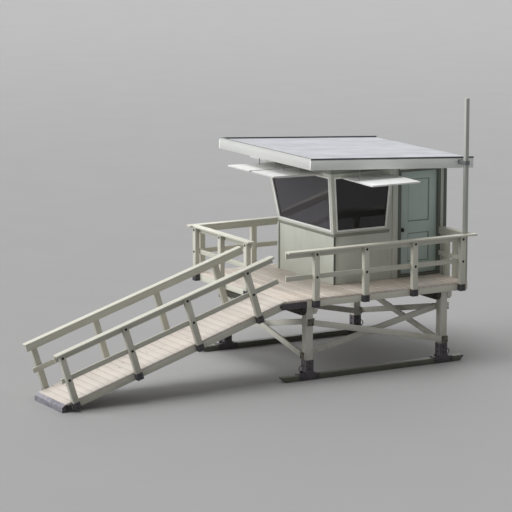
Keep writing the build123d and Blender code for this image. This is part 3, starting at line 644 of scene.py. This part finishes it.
def dress(names, look, slot, bevel=0.003, steps=2, shortest=0.012):
    """The solids of CAD nodes again, with worn edges and the given look."""
    for node in names.split():
        piece = Piece()
        for s in solids(node):
            piece.add(s, bevel, steps, shortest=shortest)
        piece.made(node + "_dressed", look, (node,), slot, body_of_node[node])


def settled(axes, fall=0.0015, short=0.005):
    """How a loose board lies: a little low, a little bowed, its ends not quite in line."""
    middle, half, along, across, out = axes
    ends = chance.uniform(0, short), chance.uniform(0, short)
    low = chance.uniform(0, fall)
    turn = chance.uniform(0, 6.28)
    if out.z < 0:
        out = -out

    def bend(local):
        move = -out * (low + fall * 0.5 * (1 + math.sin(local.x * 1.9 + turn)))
        if local.x > half.x - 0.03:
            move -= along * ends[0]
        if local.x < 0.03 - half.x:
            move += along * ends[1]
        return move

    return bend


# ---------------- skids, legs, beams, braces
dress("skids", SKID, "skid_timber", 0.010, 3)
dress("legs", FRAME, "frame_timber", 0.005)
dress("outer_braces inner_braces", FRAME, "frame_timber")
dress("side_joists end_joists", RAIL, "rail_timber")
dress("inner_joists", FRAME, "frame_timber")
dress("leg_shoes", STEEL, "dark_steel")

fittings = Piece()
tower_bolts = Piece()
deck_low, deck_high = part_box("deck_boards")
tower_middle = (deck_low + deck_high) / 2
legs = solids("legs")
leg_half = legs[0].axes()[1].y
skid_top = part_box("skids")[1].z
beam_z = sum(corner.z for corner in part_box("cross_beams")) / 2
BEAM_T = 0.090
BEAM_BOLTS = ((-0.038, 0.035), (0.038, -0.035))

beams = Piece()
for s in solids("cross_beams"):
    m = s.axes()[0]
    leg_x = min((g.axes()[0].x for g in legs), key=lambda x: abs(x - m.x))
    # beams on the -X side of a leg take the near-black paint, as painted shade
    beams.add(s, 0.004, kind=int(m.x < leg_x))
beams.made("cross_beams_dressed", [FRAME, BEAM_PAINTED_SHADE], ("cross_beams",), "frame_timber")

SOCKET = leg_half + 0.010  # from a leg's middle to the outside of its steel socket
SOCKET_BOLT_Z = (0.095, 0.205)
SADDLE_HALF = Vector((0.207, leg_half + 0.0095, 0))
SADDLE_T = 0.010
SADDLE_BOLT_X = 0.17
SADDLE_BOLT_DROP = 0.045
RIB_T, RIB_LONG, RIB_HIGH, RIB_ASIDE = 0.008, 0.060, 0.055, 0.060
LOOP_Z, LOOP_ASIDE, LOOP_HALF, LOOP_OUT, LOOP_ROD = 0.095, 0.03, 0.060, 0.078, 0.009
LOOP_STUD = ((0, 0), (0.015, 0), (0.011, 0.005), (0.009, 0.010), (0, 0.010))

for leg in legs:
    m = leg.axes()[0]
    outward = X * (1 if m.x > 0 else -1)
    foot = Vector((m.x, m.y, leg.reach(Z)[0]))
    # a towing loop on the side of the socket, with its two studs
    face = foot + outward * SOCKET + Z * LOOP_Z - Y * outward.x * LOOP_ASIDE
    loop = []
    for i in range(13):
        a = math.radians(-90 + 15 * i)
        loop.append(face + outward * (LOOP_OUT * math.cos(a)) + Z * (LOOP_HALF * math.sin(a)))
    root = outward * 0.004
    fittings.rod([loop[0] - root] + loop + [loop[-1] - root], LOOP_ROD, 12)
    for z in (-LOOP_HALF, LOOP_HALF):
        fittings.turned(LOOP_STUD, face + Z * z, outward, 14)
    # a second plate on the saddle, and low ribs between it and the socket
    fittings.add(box(foot - SADDLE_HALF, foot + SADDLE_HALF + Z * SADDLE_T), 0.002)
    for along in (X, -X):
        for y in (-RIB_ASIDE, RIB_ASIDE):
            base = foot + along * SOCKET + Y * (y - RIB_T / 2)
            fittings.add(prism([base, base + along * RIB_LONG, base + Z * RIB_HIGH], Y * RIB_T), 0.0015, 1)
    # bolts of socket and saddle
    for direction in (X, -X, Y, -Y):
        for z in SOCKET_BOLT_Z if direction != outward else ():
            tower_bolts.bolt(foot + direction * SOCKET + Z * z, direction, SADDLE_BOLT)
    low = Z * (skid_top - SADDLE_BOLT_DROP - foot.z)
    for direction, off in ((Y, Y * SOCKET + low), (-Y, low - Y * SOCKET), (Z, Vector())):
        for x in (-SADDLE_BOLT_X, SADDLE_BOLT_X):
            tower_bolts.bolt(foot + X * x + off, direction, SADDLE_BOLT)
    # bolts of the cross beams
    for direction in (X, -X):
        for dy, dz in BEAM_BOLTS:
            at = Vector((m.x, m.y + dy, beam_z + dz)) + direction * (leg_half + BEAM_T)
            tower_bolts.bolt(at, direction, BEAM_BOLT)

# flush steel plates where the outer braces meet the legs
BRACE_PLATE_T, BRACE_PLATE_HALF = 0.005, (0.070, 0.066)
BRACE_BOLTS = ((-0.040, 0.036), (0.040, -0.036))
plates = Piece()
for brace in solids("outer_braces"):
    m, h, along, across, out = brace.axes()
    out = out if (m - tower_middle).dot(out) > 0 else -out
    level = Vector((along.x, along.y, 0)).normalized()
    for s in (-1, 1):
        leg = min(legs, key=lambda g: (g.axes()[0] - (m + along * h.x * s)).length)
        centre = leg.axes()[0]
        z = m.z + along.z * s * (abs((centre - m).dot(level)) / abs(along.dot(level)))
        at = brace.side(out, Vector((centre.x, centre.y, z)))
        a, b = level * BRACE_PLATE_HALF[0], Z * BRACE_PLATE_HALF[1]
        plates.add(prism([at - a - b, at + a - b, at + a + b, at - a + b], out * BRACE_PLATE_T), 0.0015, 1)
        for a, b in BRACE_BOLTS:
            tower_bolts.bolt(at + level * a + Z * b + out * BRACE_PLATE_T, out, PLATE_BOLT)
plates.made("brace_plates", PLATE)

# ---------------- deck
SCREW_ASIDE = 0.48  # of a board's half width
SCREW_SUNK = 0.0012
deck = Piece()
screws = Piece()
deck_boards = solids("deck_boards")
for s in deck_boards:
    deck.add(s, 0.0022, parts=10, bend=settled(s.axes()))
deck.made("deck_boards_dressed", DECK, ("deck_boards",), "deck_timber")
joists = [s.axes()[0] for s in solids("inner_joists")]
for s in deck_boards:
    middle, half, along = s.axes()[:3]
    run, aside = (0, 1) if abs(along.x) > 0.5 else (1, 0)
    for joist in joists:
        for w in (-SCREW_ASIDE, SCREW_ASIDE):
            at = middle.copy()
            at[run] = joist[run] + chance.uniform(-0.006, 0.006)
            at[aside] += half.y * w
            at.z += half.z - SCREW_SUNK
            screws.turned(SCREW_SHAPE, at, Z, 8, smooth=False)
screws.made("deck_screws", SCREW)


# ---------------- railings
POST_BOLT_DROPS = (0.050, 0.475)  # under the top of the post
SHOE_BOLT_Z = 0.03  # from the middle of the wrap
REAR_BOARDS = ((0.100, 0), (0.520, 0.430))  # lower and upper edge of each board, under the cap


def with_cap(found, up):
    """Caps, and what is under them, of railing solids that hold a cap."""
    caps, rest = [], []
    for s in found:
        low, high = s.reach(up)
        tall = high - low > 0.12
        lower, upper = cut(s, s.side(up) - up * CAP_T, up) if tall else ([s], [])
        caps += upper
        rest += lower
    return caps, rest


def post_bolts(piece, posts, out, up=Z):
    """A bolt through each post at the top board and one at the middle board."""
    for s in posts:
        for drop in POST_BOLT_DROPS:
            piece.bolt(s.side(out, s.side(up)) - up * drop, out, POST_BOLT)


def shoe_bolts(piece, shoe, out, up=Z):
    """Two bolts, one over the other, in the steel wrap at a post's foot."""
    for z in (-SHOE_BOLT_Z, SHOE_BOLT_Z):
        piece.bolt(shoe.side(out) + up * z, out, SHOE_BOLT)


def railing(name, body, look, rail, posts, out, up, bolts):
    """A railing as one object: boards, caps and posts."""
    piece = Piece()
    caps, boards = with_cap(solids(rail), up)
    uprights = solids(posts)
    for s in boards:
        piece.add(s, shortest=0.02)
    for s in caps:
        piece.add(s, 0.004, 3, shortest=0.02)
    for s in uprights:
        piece.add(s, 0.004)
    post_bolts(bolts, uprights, out, up)
    piece.made(name, look, (rail, posts), "rail_timber", body)


for side, out in (("near", -Y), ("back", Y), ("front", -X)):
    railing(side + "_railing", "tower", RAIL, side + "_rail", side + "_rail_posts", out, Z, tower_bolts)

# the short railings of the rear, from the feet of their posts
for node in ("rear_rail", "rear_far_rail"):
    low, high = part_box(node)
    top = high.z - CAP_T
    end = min(high.y, deck_high.y - BOARD_T)
    feet = sorted({round(p.y, 3) for p in solids(node)[0].points if p.z < low.z + 0.001})
    inside, outside = deck_high.x, deck_high.x + POST_T
    posts = [box((inside, a, low.z), (outside, b, top)) for a, b in zip(feet[::2], feet[1::2])]
    boards = [box((low.x, low.y, top - a), (inside, end, top - b)) for a, b in REAR_BOARDS]
    piece = Piece()
    for s in boards + posts:
        piece.add(s, shortest=0.02)
    piece.add(box((low.x, low.y, top), (high.x, end, high.z)), 0.004, 3)
    post_bolts(tower_bolts, posts, X)
    piece.made(node + "_dressed", RAIL, (node,), "rail_timber")

dress("rail_post_shoes", STEEL, "dark_steel", 0.0015, 1)
for s in solids("rail_post_shoes"):
    m = s.axes()[0]
    past = (deck_low.y - m.y, -Y), (m.y - deck_high.y, Y), (deck_low.x - m.x, -X), (m.x - deck_high.x, X)
    shoe_bolts(tower_bolts, s, max(past, key=lambda side: side[0])[1])

# ---------------- ramp
down = Vector((-math.cos(RAMP_SLOPE), 0, -math.sin(RAMP_SLOPE)))
ramp_up = Vector((-math.sin(RAMP_SLOPE), 0, math.cos(RAMP_SLOPE)))
dress("ramp_near_stringer ramp_far_stringer", RAMP_RAIL_PAINTED_SHADE, "rail_timber", shortest=0.05)
dress("ramp_nosing", TOE, "toe_steel", 0.004, 3)
dress("ramp_post_shoes", STEEL, "dark_steel", 0.0015, 1)
dress("ramp_hinge", STEEL, "dark_steel", 0.0015, 1, shortest=0.03)
RAMP_SCREW_IN, RAMP_SCREW_ASIDE, RAMP_SCREW_SUNK = 0.022, 0.6, 0.0010
ramp_bolts = Piece()
ramp_deck = Piece()
ramp_screws = Piece()
for s in solids("ramp_boards"):
    middle, half = s.axes()[:2]
    ramp_deck.add(s, 0.0022, parts=4, bend=settled(s.axes(), 0.0012, 0.004))
    for y in (-1, 1):
        for w in (-RAMP_SCREW_ASIDE, RAMP_SCREW_ASIDE):
            at = middle + Y * y * (half.x - RAMP_SCREW_IN) + down * (w * half.y)
            at += ramp_up * (half.z - RAMP_SCREW_SUNK)
            ramp_screws.turned(SCREW_SHAPE, at, ramp_up, 8, smooth=False)
ramp_deck.made("ramp_boards_dressed", RAMP, ("ramp_boards",), "deck_timber", "ramp")
ramp_screws.made("ramp_screws", SCREW, body="ramp")
for side, out in (("near", -Y), ("far", Y)):
    name = "ramp_" + side
    railing(name + "_railing", "ramp", RAMP_RAIL_PAINTED_SHADE, name + "_rail", name + "_posts", out, ramp_up, ramp_bolts)
near_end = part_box("ramp_boards")[0].y + 0.1
for s in solids("ramp_post_shoes"):
    shoe_bolts(ramp_bolts, s, -Y if s.axes()[0].y < near_end else Y, ramp_up)

# steel ends of the stringers and of the nosing
END_T, END_LONG, END_LIFT = 0.005, 0.10, 0.004
ends = Piece()
nose_low, nose_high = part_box("ramp_nosing")
for node, out in (("ramp_near_stringer", -Y), ("ramp_far_stringer", Y)):
    s = solids(node)[0]
    foot = s.side(out, max(s.points, key=lambda p: p.dot(down) - p.dot(ramp_up)))
    low, high = s.reach(ramp_up)
    corners = (END_LIFT, 0), (high - low, 0), (high - low, END_LONG), (END_LIFT, END_LONG)
    ends.add(prism([foot + ramp_up * a - down * b for a, b in corners], out * END_T), 0.001, 1)
    x0, x1, z1 = nose_low.x + 0.002, nose_high.x, nose_high.z - 0.012
    cheek = (x0, 0.002), (x1, 0.002), (x1, z1), (x1 - 0.045, z1), (x0, 0.088)
    ends.add(prism([(x, foot.y, z) for x, z in cheek], out * END_T), 0.001, 1)
ends.made("ramp_end_plates", STEEL, body="ramp")

# ---------------- cabin walls, windows, door
dress("front_wall", FRONT_WALL_PAINTED_SHADE, "wall_paint")
dress("near_wall far_wall rear_wall door_pier over_door", WALL, "wall_paint")
dress("cabin_floor", FLOOR_BOARDS, "deck_timber")
dress("window_corner_posts window_cheeks", WALL, "wall_paint")
# the headers take the darker paint, as painted shade
dress("front_header near_header far_header", HEADER_PAINTED_SHADE, "wall_paint")
dress("front_glass", FRONT_GLASS_PAINTED_REFLECTION, "window_glass", 0.0)
dress("side_glass", SIDE_GLASS, "window_glass", 0.0)
# the door frame in the dark trim paint: painted shade in its reveal
dress("door_frame", TRIM_PAINTED_SHADE, "wall_paint")

# window frames in the wall's paint, each with a sloped sill painted darker as painted shade, and a white
# ring round its pane
SILL_H, SILL_IN, SILL_PAST = 0.056, 0.030, 0.068
SILL_LEAN = SILL_H * math.tan(LEAN)
SILL = ((0, 0), (SILL_LEAN + 0.020, SILL_H), (SILL_LEAN, SILL_H + 0.004), (-SILL_IN, SILL_H), (-SILL_IN, 0))
panes = solids("front_glass") + solids("side_glass")
rings = Piece()
rubber = Piece()
for side, pane, out in zip(("front", "near", "far"), panes, (-X, -Y, Y)):
    node = side + "_window_frame"
    frame_solid = solids(node)[0]
    piece = Piece()
    piece.add(frame_solid)
    face, normal = widest_face(pane, out)
    top = frame_solid.reach(normal)[1] - face[0].dot(normal) + 0.006
    rings.add(hoop(face, normal, ((-0.002, 0.001), (0.027, 0.001), (0.027, top), (-0.002, top))), 0.002)
    rubber.add(hoop(face, normal, ((-0.010, 0.0), (0.0, 0.0), (0.0, 0.006), (-0.010, 0.006))), 0.001, 1)
    # the sill: out at its top, flush with the wall below
    along = out.cross(Z)
    base = frame_solid.reach(Z)[0]
    foot = [p for p in frame_solid.points if p.z < base + 0.001]
    start = min(p.dot(along) for p in foot) - SILL_PAST
    end = max(p.dot(along) for p in foot) + SILL_PAST
    corner = out * max(p.dot(out) for p in foot) + along * start + Z * base
    piece.add(prism([corner + out * o + Z * z for o, z in SILL], along * (end - start)), 0.002, 1, kind=1)
    piece.made(node + "_dressed", [WALL, SILL_PAINTED_SHADE], (node,), "wall_paint")
rings.made("window_rings", WHITE)
rubber.made("window_gaskets", GASKET)

# strips at the corners and beside the door; the dark ones are thin sheets of painted shade in the gaps and
# recesses
wall_low, wall_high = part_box("front_wall")
leaf_low, leaf_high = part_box("door_leaf")
front_x, near_y, far_y = wall_low.x, wall_low.y, wall_high.y
jamb_x, rear_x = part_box("door_frame")[1].x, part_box("rear_wall")[1].x
foot_z, sill_z = wall_low.z, wall_high.z
pier_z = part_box("door_pier")[1].z - 0.004
rear_z = pier_z - 0.05
DARK_T = 0.003
low_wall, by_door, by_rear = (foot_z, sill_z), (foot_z, pier_z), (foot_z, rear_z)
shaded_strip_y = near_y - DARK_T, near_y
trims = Piece()
for dark, (x0, x1), (y0, y1), (z0, z1) in (
    (True, (front_x + 0.001, front_x + 0.046), shaded_strip_y, low_wall),
    (True, (front_x - DARK_T, front_x), (far_y - 0.055, far_y), low_wall),
    (False, (front_x - 0.004, front_x + 0.05), (far_y, far_y + 0.042), low_wall),
    (True, (front_x + 0.001, front_x + 0.046), (far_y, far_y + DARK_T), low_wall),
    (False, (leaf_low.x - 0.216, leaf_low.x - 0.098), (near_y - 0.020, near_y), by_door),
    (True, (leaf_low.x - 0.098, leaf_low.x - 0.048), shaded_strip_y, by_door),
    (False, (jamb_x, jamb_x + 0.034), (near_y - 0.012, near_y), by_rear),
    (False, (jamb_x + 0.034, jamb_x + 0.052), (near_y - 0.020, near_y), by_rear),
    (True, (jamb_x + 0.052, rear_x), shaded_strip_y, (foot_z - 0.10, rear_z)),
):
    bevel, steps = (0.0008, 1) if dark else (0.003, 2)
    trims.add(box((x0, y0, z0), (x1, y1, z1)), bevel, steps, kind=int(dark))
trims.made("wall_trims", [WALL, TRIM_PAINTED_SHADE])

# the door: a grid of faces on each side, with two panels pressed in and raised again; two steps of each
# pressing are painted darker, as painted shade in the creases
LEAF_T, LEAF_EDGE, STILE = 0.040, 0.010, 0.165
PRESSED = ((0.010, 0.005), (0.008, -0.006), (0.012, -0.010), (0.045, 0.0), (0.030, 0.008), (0.004, 0.001))
PRESSED_DARK = (1, 2)
low, high = leaf_low, Vector((leaf_high.x - LEAF_EDGE, leaf_low.y + LEAF_T, leaf_high.z))
xs = [low.x, low.x + STILE, high.x - STILE, high.x]
zs = [low.z, low.z + 0.22, low.z + 0.80, low.z + 1.00, high.z - 0.14, high.z]
bm = bmesh.new()
outer, inner = [[[bm.verts.new((x, y, z)) for x in xs] for z in zs] for y in (low.y, high.y)]


def sheet(rows):
    """The faces between rows of corners, in rows too."""
    return [
        [bm.faces.new((a, b, d, c)) for a, b, c, d in zip(low, low[1:], high, high[1:])]
        for low, high in zip(rows, rows[1:])
    ]


panels = [row[1] for grid in (outer, inner) for row in sheet(grid)[1:4:2]]
for end in (0, -1):
    sheet([[row[end] for row in grid] for grid in (outer, inner)])
    sheet([outer[end], inner[end]])
bmesh.ops.recalc_face_normals(bm, faces=bm.faces)
for step, (thickness, depth) in enumerate(PRESSED):
    pressed = bmesh.ops.inset_individual(
        bm, faces=panels, thickness=thickness, depth=depth, use_even_offset=True
    )
    for f in pressed["faces"]:
        f.material_index = int(step in PRESSED_DARK)
# only the long edges round the leaf are as sharp as this
rim = [e for e in bm.edges if e.calc_face_angle(0) > 1.2 and e.calc_length() > 0.1]
bmesh.ops.bevel(bm, geom=rim, offset=0.002, segments=2, profile=0.5, affect="EDGES")
half = (high - low) / 2
door = Piece()
door.take(bm, (low + half, Vector((half.z, half.x, half.y)), Z, X, Y), tint=0.5)
door.made("door_panelled", [DOOR, DOOR_CREASE_PAINTED_SHADE], ("door_leaf",), "door_paint", "door")

# hinge knuckles behind the leaf, and a knob on a square plate on each side
KNOB = (
    (0, 0), (0.034, 0), (0.034, 0.003), (0.030, 0.006), (0.013, 0.009), (0.0105, 0.020), (0.014, 0.026),
    (0.024, 0.031), (0.0285, 0.039), (0.0275, 0.047), (0.019, 0.053), (0, 0.0555),
)
KNOB_PLATE = Vector((0.040, 0, 0.039))
metal = Piece()
for s in cut(solids("door_leaf")[0], Y * (high.y + 0.0002), Y)[1]:
    metal.add(s, 0.0)
knob = Vector((low.x + 0.045, 0, low.z + 0.858))
for y, out, size in ((low.y, -Y, 1.0), (high.y, Y, 0.82)):
    metal.turned([(r, h * size) for r, h in KNOB], knob + Y * y + out * 0.003, out, 28)
    a, b = sorted((y, y + out.y * 0.004))
    metal.add(box(knob + Y * a - KNOB_PLATE, knob + Y * b + KNOB_PLATE), 0.0015)
metal.made("door_metal", BOLT, body="door")
dress("door_hinges", BOLT, "dark_steel", 0.0)

# ---------------- roof
m, h, along, across, out = solids("roof_deck")[0].axes()
roof_x, roof_y, roof_z = 2 * h
# from the roof's front edge, from its near edge, and above its top
roof_place = axes_at(m - along * h.x - across * h.y + out * h.z, along, across, out)


def roof_boxes(piece, boxes, bevel=0.001, steps=1, kind=0):
    """Add boxes that are given in the roof's own frame."""
    for low, high in boxes:
        piece.add(box(low, high, roof_place), bevel, steps, kind=kind)


SHEETS, SHEET_SUNK, SHEET_LAP, KERB_T, EDGE_T = 5, 0.030, 0.05, 0.028, 0.022
front_end, rear_end, far_end = 0.0015, roof_x - 0.002, roof_y - 0.001
covering, kerbs, lip, edges = Piece(), Piece(), Piece(), Piece()
roof_boxes(covering, [((EDGE_T, 0.004, -roof_z), (roof_x - 0.004, roof_y - 0.004, -SHEET_SUNK))], 0.002)
sheets = []
for i in range(SHEETS):
    y0 = roof_y / SHEETS * i + (0 if i else KERB_T - 0.002)
    y1 = min(roof_y - KERB_T + 0.002, roof_y / SHEETS * (i + 1) + SHEET_LAP)
    sheets.append(((0.018, y0, -SHEET_SUNK), (roof_x - 0.006, y1, 0.0022 + 0.0018 * (i % 2) - SHEET_SUNK)))
roof_boxes(covering, sheets)
covering.made("roof_covering_sheets", ROOF, ("roof_deck",), "roof_covering")
roof_boxes(kerbs, [
    ((0.002, 0.0, -0.032), (rear_end, KERB_T, -0.0005)),
    ((0.12, roof_y - KERB_T, -0.032), (rear_end, roof_y, -0.0005)),
], 0.002, 2)
kerbs.made("roof_side_kerbs", FLASHING)
roof_boxes(lip, [
    ((front_end, 0.004, -0.010), (0.034, roof_y - 0.002, -0.0005)),
    ((front_end, roof_y - KERB_T, -0.034), (0.118, far_end, -0.0008)),
    ((roof_x - 0.006, 0.030, 0.004 - roof_z), (roof_x - 0.001, roof_y - 0.030, 0.006 - SHEET_SUNK)),
])
lip.made("roof_front_lip", LIP)
# the front edge board takes the darker front fascia copy, as painted shade
roof_boxes(edges, [((0.001, 0.001, -roof_z), (EDGE_T, far_end, -0.010))], kind=1)
roof_boxes(edges, [
    ((EDGE_T, 0.0012, -roof_z), (rear_end, 0.004, -0.032)),
    ((EDGE_T, roof_y - 0.004, -roof_z), (rear_end, roof_y - 0.0012, -0.032)),
], 0.0006)
edges.made("roof_edge_boards", [FASCIA, FRONT_FASCIA_PAINTED_SHADE])
dress("side_fascias", FASCIA, "fascia_paint")
# the end fascias take the darker copy of the fascia white, as painted shade
dress("end_fascias", FRONT_FASCIA_PAINTED_SHADE, "fascia_paint")

SOFFIT_BOARDS, SOFFIT_GAP = 24, 0.0024
m, h, *directions = solids("soffit")[0].axes()
width = 2 * h.y / SOFFIT_BOARDS
half = (width - SOFFIT_GAP) / 2
boards = Piece()
for i in range(SOFFIT_BOARDS):
    y = width * (i + 0.5) - h.y
    boards.add(box((-h.x, y - half, -h.z), (h.x, y + half, h.z), axes_at(m, *directions)), 0.002, 1)
boards.made("soffit_boards", FASCIA, ("soffit",), "fascia_paint")
nodes["rafters"].data.materials.clear()
nodes["rafters"].data.materials.append(FRAME)

# ---------------- shutters and what holds them
BATTEN_HALF, BATTEN_T, BATTEN_IN = 0.035, 0.018, 0.12
STRAP_HALF, STRAP_T, STRAP_LONG = 0.018, 0.003, 0.16
RIVET = ((0, 0), (0.007, 0), (0.005, 0.003), (0, 0.0035))


def slat(start, side, up, push):
    """A flat bar from the middle of its lower edge, with its half width, its thickness and its length."""
    return prism([start - side, start + side, start + side + up, start - side + up], push)


for node in ("front_shutters", "side_shutters"):
    panel = Piece()
    straps = Piece()
    for s in solids(node):
        m, h, along, across, out = s.axes()
        front = node == "front_shutters"
        far = not front and m.y > tower_middle.y
        # the near side shutter takes the whiter window paint, as painted light where the roof shades it;
        # the others take the shutter paint
        kind = int(front or far)
        panel.add(s, kind=kind)
        up = out if out.z > 0 else -out
        # run points from the hinged edge to the free one
        run, side = (-X, Y) if front else (Y if far else -Y, X)
        length, width = [s.reach(d)[1] - s.reach(d)[0] for d in (run, side)]
        run, side = [(d - up * d.dot(up)).normalized() for d in (run, side)]
        hinge = m - run * (length / 2 - 0.002)
        # battens under the board, and strap hinges at its inner edge
        for w in (-0.38, 0.0, 0.38):
            start = hinge + side * (w * width) + run * BATTEN_IN - up * (h.z + BATTEN_T)
            batten = slat(start, side * BATTEN_HALF, up * BATTEN_T, run * (length - 2 * BATTEN_IN))
            panel.add(batten, steps=1, kind=kind)
        for w in (-0.33, 0.33):
            start = hinge + side * (w * width) + up * h.z
            straps.add(slat(start, side * STRAP_HALF, up * STRAP_T, run * STRAP_LONG), 0.001, 1)
            for r in (0.03, 0.08, 0.13):
                straps.turned(RIVET, start + run * r + up * STRAP_T, up, 10)
    panel.made(node + "_dressed", [WHITE, SHUTTER], (node,), "shutter_paint")
    straps.made(node + "_hinges", SHUTTER)
dress("shutter_hangers", HANGER, "dark_steel", 0.0)

# ---------------- pole, and the fittings gathered above
dress("pole", POLE, "rail_timber", 0.006, 3)
dress("pole_bracket", LIP, "dark_steel", 0.0015, 1)
fittings.made("steel_fittings", STEEL)
tower_bolts.made("tower_bolts", BOLT)
ramp_bolts.made("ramp_bolts", BOLT, body="ramp")

# ---------------- floor
FLOOR_HALF = 400
floor_mesh = bpy.data.meshes.new("floor")
corners = [(x * FLOOR_HALF, y * FLOOR_HALF, 0) for x, y in ((-1, -1), (1, -1), (1, 1), (-1, 1))]
floor_mesh.from_pydata(corners, [], [(0, 1, 2, 3)])
stone = Look("studio_floor", Specular_IOR_Level=0.1)
place = stone.node("NewGeometry").outputs["Position"]
# painted shading: the ground grows a little paler towards the back of the studio
away = stone.vector("DOT_PRODUCT", place, (0.499, 0.867, 0.0), output="Value")
cloud = stone.noise(stone.vector("MULTIPLY", place, (0.6, 0.6, 0.6)), 4)
stone.tone = stone.mix(stone.between(away, 2.0, 85.0), shade(154, 154, 154), shade(170, 170, 170))
stone.over(stone.math("MULTIPLY", cloud, 0.03), shade(142, 142, 142))
floor_mesh.materials.append(stone.finish(stone.between(cloud, 0.3, 0.7, 0.85, 0.95)))
placed("floor", floor_mesh)

# ---------------- light
scene = bpy.context.scene
scene.world = bpy.data.worlds.new("studio")
studio = Graph(scene.world)
# an even sky as light, and a plain grey where it is seen, mirrored or seen through glass
sky = studio.nodes["Background"]
studio.fill(sky, Color=(1, 1, 1, 1), Strength=0.28)
plain = studio.node("Background", shade(182, 182, 182), 1.0)
rays = studio.node("LightPath").outputs
seen = rays["Is Camera Ray"]
for kind in ("Is Glossy Ray", "Is Transmission Ray"):
    seen = studio.math("MAXIMUM", seen, rays[kind])
join = studio.node("MixShader", seen, sky.outputs[0], plain.outputs[0])
studio.put(studio.nodes["World Output"].inputs[0], join.outputs[0])

# wide soft lamps: the direction of each from the object, its strength and its spread in degrees
for name, towards, strength, spread in (
    ("key", (-0.16, 0.03, 0.985), 1.8, 32),
    ("fill", (-0.86, 0.36, 0.40), 2.2, 50),
    ("back", (0.35, 0.85, 0.38), 0.9, 50),
):
    lamp = bpy.data.lights.new(name, "SUN")
    lamp.energy = strength
    lamp.angle = math.radians(spread)
    placed(name, lamp).rotation_euler = Vector(towards).to_track_quat("Z", "Y").to_euler()

# ---------------- camera
view = bpy.data.cameras.new("camera")
camera = placed("camera", view)
view.lens = 178.93
view.sensor_width = 36
view.clip_start = 1.0
view.clip_end = 1000.0
camera.location = (-25.288, -39.463, 10.651)
camera.rotation_euler = (math.radians(79.759), 0, math.radians(-29.906))
scene.camera = camera
scene.view_settings.view_transform = "Standard"
